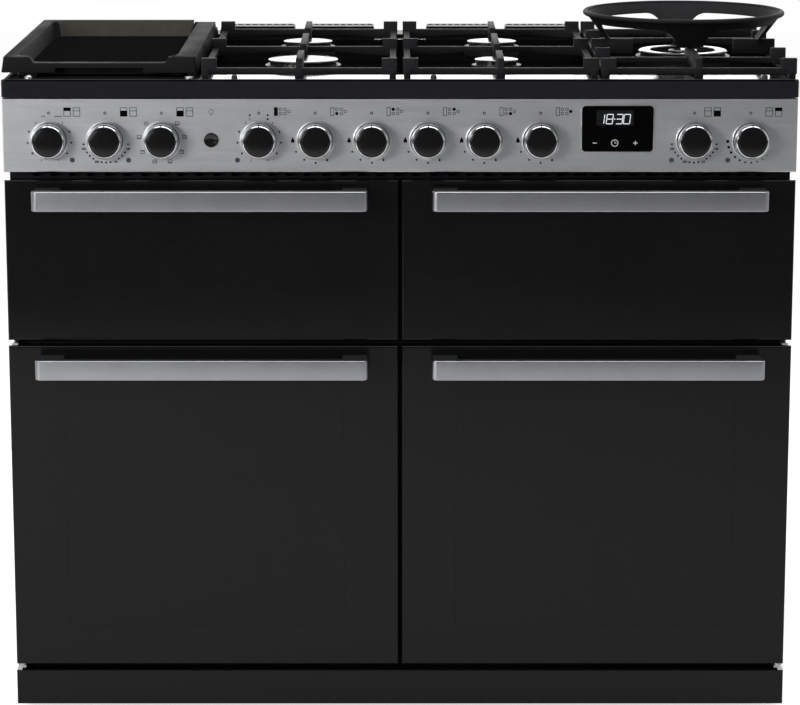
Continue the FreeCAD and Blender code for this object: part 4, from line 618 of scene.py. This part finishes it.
def stamp_scale(bm, x, name):
    """Dots and squares round one knob."""
    if name in ("knob_grill", "knob_hotplate"):
        for side in (-1, 1):
            for degrees in HEAT_ANGLES:
                spot_x, spot_z = around(0, HEAT_RING, degrees)
                if degrees in (HEAT_ANGLES[0], HEAT_ANGLES[-1]):
                    stamp_box(bm, x + side * spot_x, spot_z, *HEAT_BAR)
                else:
                    stamp_dot(bm, x + side * spot_x, spot_z, DOT)
    elif name in ("knob_left_oven_heat", "knob_right_oven"):
        for step in range(DEGREE_DOTS):
            if step % 4 != 1:
                stamp_dot(bm, *around(x, DEGREE_RING, DEGREE_START - DEGREE_STEP * step), DOT)
    elif name == "knob_left_oven_function":
        for step in range(8):
            spot_x, spot_z = around(x, PRINT_RING, FUNCTION_START - FUNCTION_STEP * step)
            stamp_frame(bm, spot_x, spot_z, *FUNCTION_BOX)
            stamp_box(bm, spot_x, spot_z + (step % 3 - 1) * FUNCTION_BAR_SHIFT, *FUNCTION_BAR)
    elif name == "knob_proving_drawer":
        for step in range(DRAWER_DOTS):
            spot = around(x, PRINT_RING, DRAWER_START + DRAWER_STEP * step)
            stamp_dot(bm, *spot, DRAWER_DOT - DRAWER_DOT_SHRINK * step)
    else:
        stamp_flame(bm, x + GAS_FLAME_X, KNOB_Z, GAS_FLAMES[0])
        for degrees in GAS_DOT_ANGLES:
            stamp_dot(bm, *around(x, GAS_RING, degrees), DOT)
        stamp_flame(bm, *around(x, GAS_RING, GAS_LOW_ANGLE), GAS_FLAMES[1])


def make_panel_print():
    bm = bmesh.new()
    names = list(KNOBS)
    across, z, radius, line = ZERO_MARK
    for name, x in KNOBS.items():
        stamp_ring(bm, x + across, z, radius, line)
        stamp_scale(bm, x, name)
    for name, (offset, filled) in OVEN_MARKS.items():
        stamp_ovens(bm, KNOBS[name] + offset, filled)
    for filled, name in enumerate(names[3:9]):
        stamp_hob(bm, KNOBS[name], filled)
    for first, count in GRILL_DOTS:
        for step in range(count):
            stamp_dot(bm, KNOBS["knob_grill"] + first + step * GRILL_DOT_PITCH, GRILL_DOTS_Z, GRILL_DOT)
    hotplate = KNOBS["knob_hotplate"]
    for across, up in HOTPLATE_DOTS:
        stamp_dot(bm, hotplate + across, KNOB_Z + up, DOT)
    across, up = HOTPLATE_RING
    stamp_ring(bm, hotplate + across, KNOB_Z + up, DOT, HOTPLATE_RING_LINE)
    stamp_ring(bm, BULB_X, BULB_Z, BULB_RADIUS, BULB_LINE)
    for z, width, height in BULB_BARS:
        stamp_box(bm, BULB_X, z, width, height)
    finished("panel_marks", tidy(bm), "cooker", "black_paint", print_ink)


def make_scale_numbers():
    """Plain temperatures round the oven knobs."""
    bm = bmesh.new()
    for name in ("knob_left_oven_heat", "knob_right_oven"):
        for index, number in enumerate(DEGREE_NUMBERS):
            degrees = DEGREE_START - DEGREE_STEP * (index * 4 + 1)
            across, up = around(KNOBS[name], DEGREE_NUMBER_RING, degrees)
            curve = bpy.data.curves.new("number", "FONT")
            curve.body = number
            curve.size = NUMBER_HEIGHT
            curve.offset = NUMBER_BOLD
            curve.align_x = "CENTER"
            curve.align_y = "CENTER"
            curve.extrude = MARK_DEPTH / 2
            words = bpy.data.objects.new("number", curve)
            mesh = bpy.data.meshes.new_from_object(words)
            mesh.transform(Matrix.Translation((across, PANEL_FRONT - MARK_DEPTH / 2, up))
                           @ Matrix.Rotation(pi / 2, 4, "X"))
            bm.from_mesh(mesh)
            bpy.data.objects.remove(words)
            bpy.data.curves.remove(curve)
            bpy.data.meshes.remove(mesh)
    finished("panel_numbers", tidy(bm), "cooker", "black_paint", print_ink)


SEGMENTS = {"top": (0, 1, 1, 1), "upper_left": (0, 0.5, 0, 1), "upper_right": (1, 0.5, 1, 1),
            "middle": (0, 0.5, 1, 0.5), "lower_left": (0, 0, 0, 0.5), "lower_right": (1, 0, 1, 0.5),
            "bottom": (0, 0, 1, 0)}
DIGITS = {"1": ("upper_right", "lower_right"), "8": tuple(SEGMENTS), "0": tuple(set(SEGMENTS) - {"middle"}),
          "3": ("top", "upper_right", "middle", "lower_right", "bottom")}


def stamp_digit(bm, digit, x, width, y, depth):
    """Seven-segment digit that leans to the right; x is its left foot."""
    start = len(bm.verts)
    bm.verts.ensure_lookup_table()
    for key in sorted(DIGITS[digit]):
        left, low, right, high = SEGMENTS[key]
        reach = width - DIGIT_STROKE
        rise = DIGIT_HEIGHT - DIGIT_STROKE
        if left == right:
            low_z = low * rise + DIGIT_GAP + DIGIT_STROKE / 2
            high_z = high * rise - DIGIT_GAP + DIGIT_STROKE / 2
            slab(bm, (x + left * reach, y - depth, DIGIT_LOW_Z + low_z),
                 (x + left * reach + DIGIT_STROKE, y, DIGIT_LOW_Z + high_z))
        else:
            slab(bm, (x + DIGIT_STROKE / 2 + DIGIT_GAP, y - depth, DIGIT_LOW_Z + low * rise),
                 (x + width - DIGIT_STROKE / 2 - DIGIT_GAP, y, DIGIT_LOW_Z + low * rise + DIGIT_STROKE))
    bm.verts.ensure_lookup_table()
    for vert in bm.verts[start:]:
        vert.co.x += (vert.co.z - DIGIT_LOW_Z) * sin(DIGIT_LEAN)


def make_display():
    """Bevelled rim, lit window, clock digits and touch marks."""
    half_x, half_z = DISPLAY_SIZE[0] / 2, DISPLAY_SIZE[1] / 2
    rim = bmesh.new()
    back, front = PANEL_FRONT, PANEL_FRONT - RIM_DEPTH
    for side in (-1, 1):
        low_x, high_x = sorted((DISPLAY_X + side * half_x, DISPLAY_X + side * (half_x + RIM)))
        low_z, high_z = sorted((DISPLAY_Z + side * half_z, DISPLAY_Z + side * (half_z + RIM)))
        slab(rim, (low_x, front, DISPLAY_Z - half_z + RIM_END),
             (high_x, back, DISPLAY_Z + half_z - RIM_END), RIM_EDGE)
        slab(rim, (DISPLAY_X - half_x + RIM_END, front, low_z),
             (DISPLAY_X + half_x - RIM_END, back, high_z), RIM_EDGE)
    finished("display_rim", tidy(rim), "cooker", "polished_chrome", bezel_steel)

    film = bmesh.new()
    (left, right), (low, high) = WINDOW_X, WINDOW_Z
    slab(film, (left, DISPLAY_FRONT - WINDOW_DEPTH, low), (right, DISPLAY_FRONT, high))
    finished("display_window", tidy(film), "cooker", "black_glass", window_film)

    digits = bmesh.new()
    front = DISPLAY_FRONT - LIT_GAP
    for digit, x, width in DIGIT_PLACES:
        stamp_digit(digits, digit, x, width, front, LIT_DEPTH)
    point_x, point_radius = DIGIT_POINT
    stamp_dot(digits, point_x, DIGIT_LOW_Z + DIGIT_HEIGHT / 2, point_radius, front, LIT_DEPTH)
    finished("display_digits", tidy(digits), "cooker", "black_glass", segment_lit)

    icons = bmesh.new()
    x, length, line = MINUS
    stamp_box(icons, x, ICON_Z, length, line, front, LIT_DEPTH)
    x, radius, line = CLOCK
    stamp_ring(icons, x, ICON_Z, radius, line, front, LIT_DEPTH)
    for across, up, width, height in CLOCK_HANDS:
        stamp_box(icons, x + across, ICON_Z + up, width, height, front, LIT_DEPTH)
    x, length, line = PLUS
    stamp_box(icons, x, ICON_Z, length, line, front, LIT_DEPTH)
    stamp_box(icons, x, ICON_Z, line, length, front, LIT_DEPTH + PLUS_LIFT)
    finished("display_icons", tidy(icons), "cooker", "black_glass", icon_lit)


def make_burner_caps():
    """Domed, round-edged caps; the wok burner has a ring and a middle one."""
    bm = bmesh.new()
    up = (0, 0, 1)

    def lid(x, y, radius):
        spin(bm, [(0, 0), (radius - 0.6, 0), (radius, 0.6), (radius, CAP_HEIGHT - 1.6),
                  (radius - 0.5, CAP_HEIGHT - 0.8), (radius - 1.7, CAP_HEIGHT - 0.3),
                  (radius * 0.7, CAP_HEIGHT), (0, CAP_HEIGHT)], (x, y, CAP_LOW_Z), up)

    for x, y, radius in BURNERS:
        lid(x, y, radius)
    lid(*WOK_BURNER, WOK_MIDDLE_RADIUS)
    outer, inner = WOK_CAP_RADII
    outside = [(inner, 0), (outer - 0.5, 0), (outer, 0.5), (outer, 2.2), (outer - 1.4, CAP_HEIGHT - 0.2)]
    top = [(outer - 4, CAP_HEIGHT), (inner + 4, CAP_HEIGHT), (inner + 1.2, CAP_HEIGHT - 0.2), (inner, 2.4)]
    spin(bm, outside + top, (*WOK_BURNER, CAP_LOW_Z), up, closed=True)
    finished("burner_cap_set", tidy(bm), "cooker", "cap_enamel", cap_enamel, replaces=["burner_caps"])


def make_igniters():
    """Ceramic spark plug and flame sensor beside each burner."""
    whites = bmesh.new()
    tips = bmesh.new()
    spots = [(x, y, radius) for x, y, radius in BURNERS] + [(*WOK_BURNER, WOK_CAP_RADII[0])]
    for x, y, radius in spots:
        reach = radius + IGNITER_GAP
        for turn, height in IGNITERS:
            spot_x, spot_y = x + reach * cos(radians(turn)), y + reach * sin(radians(turn))
            low, top = IGNITER_RADII
            post(whites, (spot_x, spot_y, HOB_FLOOR), low, height, top=top)
            low, top, length = IGNITER_TIP
            post(tips, (spot_x, spot_y, HOB_FLOOR + height), low, length, top=top, segments=16)
            post(tips, (spot_x, spot_y, HOB_FLOOR), *IGNITER_FOOT)
    finished("igniter_plugs", tidy(whites), "cooker", "cap_enamel", ceramic)
    finished("igniter_tips", tidy(tips), "cooker", "bright_steel", bright_steel)


def screw_head(bm, place):
    """Low pan head on a sheet, along the place's own Z axis."""
    wide, narrow = SCREW_RADII
    bmesh.ops.create_cone(bm, cap_ends=True, segments=24, radius1=wide, radius2=narrow, depth=SCREW_HEAD,
                          matrix=place)


def make_screws():
    """Screws along the edges of the back and the sides, with their heads inside the object's depth."""
    bm = bmesh.new()
    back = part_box("back_panel")[1][1] / MM - BACK_FLANGE + SCREW_RISE
    for z in BACK_SCREWS_Z:
        for x in BACK_SCREWS_X:
            screw_head(bm, Matrix.Translation((x, back, z)) @ Matrix.Rotation(-pi / 2, 4, "X"))
    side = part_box("side_panels")[1][0] / MM + SCREW_RISE
    for sign in (-1, 1):
        for y in SIDE_SCREWS_Y:
            for z in SIDE_SCREWS_Z:
                outwards = Matrix.Rotation(sign * pi / 2, 4, "Y")
                screw_head(bm, Matrix.Translation((sign * side, y, z)) @ outwards)
    finished("casing_screws", bm, "cooker", "galvanised_steel", screw_zinc)


def make_button():
    """Dished push button of the oven light, on its collar."""
    low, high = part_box("light_button")
    front, back = low[1] / MM, high[1] / MM
    depth = back - front
    bm = bmesh.new()
    collar = [(0, 0), (12, 0), (12, 2), (9.9, 2), (9.9, depth - 0.9), (9.6, depth - 0.25), (9.0, depth)]
    dish = [(8.4, 0.2), (7.2, 0.9), (5.0, 1.7), (2.6, 2.1), (0, 2.2)]
    spin(bm, collar + [(radius, depth - drop) for radius, drop in dish], (BUTTON_X, back, KNOB_Z), (0, -1, 0))
    finished("light_button_dressed", tidy(bm), "light_button", "button_plastic", button_plastic,
             replaces=["light_button"])


def make_hob_studs():
    """Studs on the front of the hob: two that place the griddle, and rubber ones under the supports."""
    bright = bmesh.new()
    peg = [(0, 0), (5.2, 0), (5.0, 1.6), (4.0, 3.2), (2.2, 4.2), (0, 4.6)]
    bush = [(0, 0), (6.4, 0), (6.4, 1.8), (5.8, 2.4), (0, 2.6)]
    for x, profile in ((PEG_X, peg), (BUSH_X, bush)):
        spin(bright, profile, (x, STUD_Y, HOB_TOP), (0, 0, 1), steps=32)
    finished("hob_studs", tidy(bright), "cooker", "bright_steel", bezel_steel)
    dark = bmesh.new()
    stop = [(0, 0), (4.4, 0), (4.0, 3.2), (3.0, 4.0), (0, 4.2)]
    for x in RUBBER_STUDS:
        spin(dark, stop, (x, RUBBER_STUD_Y, HOB_TOP), (0, 0, 1), steps=28)
    finished("hob_stud_rubber", tidy(dark), "cooker", "seal_rubber", seal_fibre)


def make_gap_shade_sheet():
    """Dark sheet behind the cooling gap between the panel and the upper doors, put there as painted shade."""
    bm = bmesh.new()
    slab(bm, (-SHADE_HALF_WIDTH, SHADE_Y[0], SHADE_Z[0]), (SHADE_HALF_WIDTH, SHADE_Y[1], SHADE_Z[1]))
    finished("cooling_gap_painted_shade", bm, "cooker", "black_paint", frame_paint)


def make_oven_lamps():
    """Round glass lens of each oven's lamp, high in the rear wall."""
    bm = bmesh.new()
    collar = bmesh.new()
    lens = [(0, -4), (22, -4), (22, 2), (20, 6), (13, 10), (0, 12)]
    ring = [(21.5, -3), (27, -3), (27, 2), (25, 4), (21.5, 4)]
    across, depth, height = OVEN_LAMP
    for side in (-1, 1):
        centre = (side * across, depth, height)
        spin(bm, lens, centre, (0, -1, 0), steps=40)
        spin(collar, ring, centre, (0, -1, 0), closed=True, steps=40)
    finished("oven_lamp_lenses", tidy(bm), "cooker", "lamp_lens", lamp_glass)
    finished("oven_lamp_collars", tidy(collar), "cooker", "bright_steel", bright_steel)


for knob, place in KNOBS.items():
    make_knob(knob, place)
make_bezels()
make_panel_print()
make_scale_numbers()
make_display()
make_burner_caps()
make_igniters()
make_screws()
make_button()
make_hob_studs()
make_gap_shade_sheet()
make_oven_lamps()



def griddle_side(centre, normal):
    """Which of the griddle's three materials a face has: the cooking face, the rear wall with its painted
    highlight, or the plain iron.
    """
    if GRIDDLE_FACE_LOW < centre.z < GRIDDLE_FACE_HIGH:
        return 1
    # Faces on the far side that turn towards the viewer take the painted highlight
    return 2 if normal.y < -0.7 and centre.y > 0 else 0


for node in ("pan_support_left", "pan_support_centre", "pan_support_right", "wok_ring"):
    softened(node, 0.8, bodies[node], cast_iron)
softened("griddle_plate", 1.0, bodies["griddle_plate"], griddle_iron, griddle_face, rear_wall_painted_highlight,
         second=griddle_side)
for node in ("grill_door_handle", "drawer_handle", "left_door_handle", "right_door_handle"):
    softened(node, 0.9, bodies[node], handle_metal, bracket_paint,
             second=lambda centre, normal: int(centre.y > HANDLE_BACK + 0.05))

# Pale floor that keeps the object's shadow; it ends in front, where the upper doors mirror the dark studio.
FLOOR_FRONT = -2950.0
FLOOR_REAR = 9000.0
FLOOR_SIDE = 6000.0


def floor_white(tree):
    """Lit white card; to the camera it is lifted nearly to white, so that only the shadow shows."""
    grain = pattern(tree, (30, 30, 30))
    card = add(tree, "BsdfPrincipled", {"Base Color": between(tree, grain, "#f2f2f2", "#f7f7f7"),
                                        "Roughness": 0.8, "Specular IOR Level": 0.1})
    glow = add(tree, "Emission", {"Color": linear("#ffffff"), "Strength": 0.6})
    path = add(tree, "LightPath", {})
    seen = add(tree, "MixShader", {"Fac": path.outputs["Is Camera Ray"], 1: add(
        tree, "Emission", {"Color": linear("#000000"), "Strength": 0.0}).outputs[0], 2: glow.outputs[0]})
    return add(tree, "AddShader", {0: card.outputs[0], 1: seen.outputs[0]}).outputs[0]


floor_mesh = bmesh.new()
middle = ((FLOOR_REAR + FLOOR_FRONT) / 2, (FLOOR_REAR - FLOOR_FRONT) / 2)
bmesh.ops.create_grid(floor_mesh, x_segments=1, y_segments=1, size=1, matrix=(
    Matrix.Translation((0, middle[0] * MM, 0)) @ Matrix.Diagonal((FLOOR_SIDE * MM, middle[1] * MM, 1, 1))))
floor_data = bpy.data.meshes.new("floor")
floor_mesh.to_mesh(floor_data)
floor_mesh.free()
floor_data.materials.append(new_material("floor_card_white", floor_white))
floor = bpy.data.objects.new("floor", floor_data)
bpy.context.scene.collection.objects.link(floor)

# Studio: white behind the object, dim in front of it
STUDIO_FRONT = 0.16
STUDIO_BEHIND = 1.0
STUDIO_HORIZON = 2.2
STUDIO_FILL = 0.38
world = bpy.data.worlds.new("studio")
bpy.context.scene.world = world
world.use_nodes = True
tree = world.node_tree
tree.nodes.clear()
direction = add(tree, "SeparateXYZ", {"Vector": add(tree, "TexCoord", {}).outputs["Generated"]})
behind = add(tree, "MapRange", {"Value": direction.outputs["Y"], "From Min": -0.1, "From Max": 0.25,
                                "To Min": STUDIO_FRONT, "To Max": STUDIO_BEHIND})
far = add(tree, "MapRange", {"Value": direction.outputs["Y"], "From Min": 0.85, "From Max": 0.96,
                             "To Min": 0.0, "To Max": STUDIO_HORIZON})
wall = add(tree, "Math", {0: behind.outputs[0], 1: far.outputs[0]}, operation="ADD")
path = add(tree, "LightPath", {})
mirrored = add(tree, "Math", {0: path.outputs["Is Glossy Ray"], 1: path.outputs["Is Transmission Ray"]},
               operation="MAXIMUM")
strength = add(tree, "MixRGB", {"Fac": mirrored.outputs[0], "Color1": (STUDIO_FILL,) * 3 + (1.0,),
                                "Color2": wall.outputs[0]})
seen = add(tree, "MixRGB", {"Fac": path.outputs["Is Camera Ray"], "Color1": strength.outputs[0],
                            "Color2": (1.0, 1.0, 1.0, 1.0)})
studio = add(tree, "Background", {"Color": seen.outputs[0], "Strength": 1.0})
add(tree, "OutputWorld", {"Surface": studio.outputs[0]})


def softbox(name, place, aim, size, power):
    """A rectangular lamp that points at a place; places are in millimetres, power in watts."""
    data = bpy.data.lights.new(name, "AREA")
    data.shape = "RECTANGLE"
    data.size, data.size_y = (side * MM for side in size)
    data.energy = power
    lamp = bpy.data.objects.new(name, data)
    bpy.context.scene.collection.objects.link(lamp)
    lamp.location = Vector(place) * MM
    lamp.rotation_euler = (Vector(aim) - Vector(place)).to_track_quat("-Z", "Y").to_euler()
    return lamp


# One key lamp lights the colours and keeps the soft shadow; a smaller one is what metal mirrors
KEY_PLACE = (-2600, -3300, 1500)
KEY_AIM = (-150, -200, 700)
key = softbox("key_left", KEY_PLACE, KEY_AIM, (1800, 1600), 88)
key.visible_glossy = False
shine = softbox("key_shine", KEY_PLACE, KEY_AIM, (1500, 500), 100)
shine.visible_diffuse = False
softbox("top_box", (200, -600, 3000), (100, 0, 850), (3400, 1400), 58)
softbox("fill_right", (3200, -2200, 1600), (200, 0, 600), (1400, 1800), 4)

camera = bpy.data.objects.new("camera", bpy.data.cameras.new("camera"))
bpy.context.scene.collection.objects.link(camera)
camera.data.lens = CAMERA_LENS_MM
camera.data.sensor_width = CAMERA_SENSOR_MM
camera.location = CAMERA_PLACE
camera.rotation_euler = (pi / 2 - CAMERA_DROP, 0, 0)
bpy.context.scene.camera = camera
bpy.context.scene.view_settings.view_transform = "Standard"
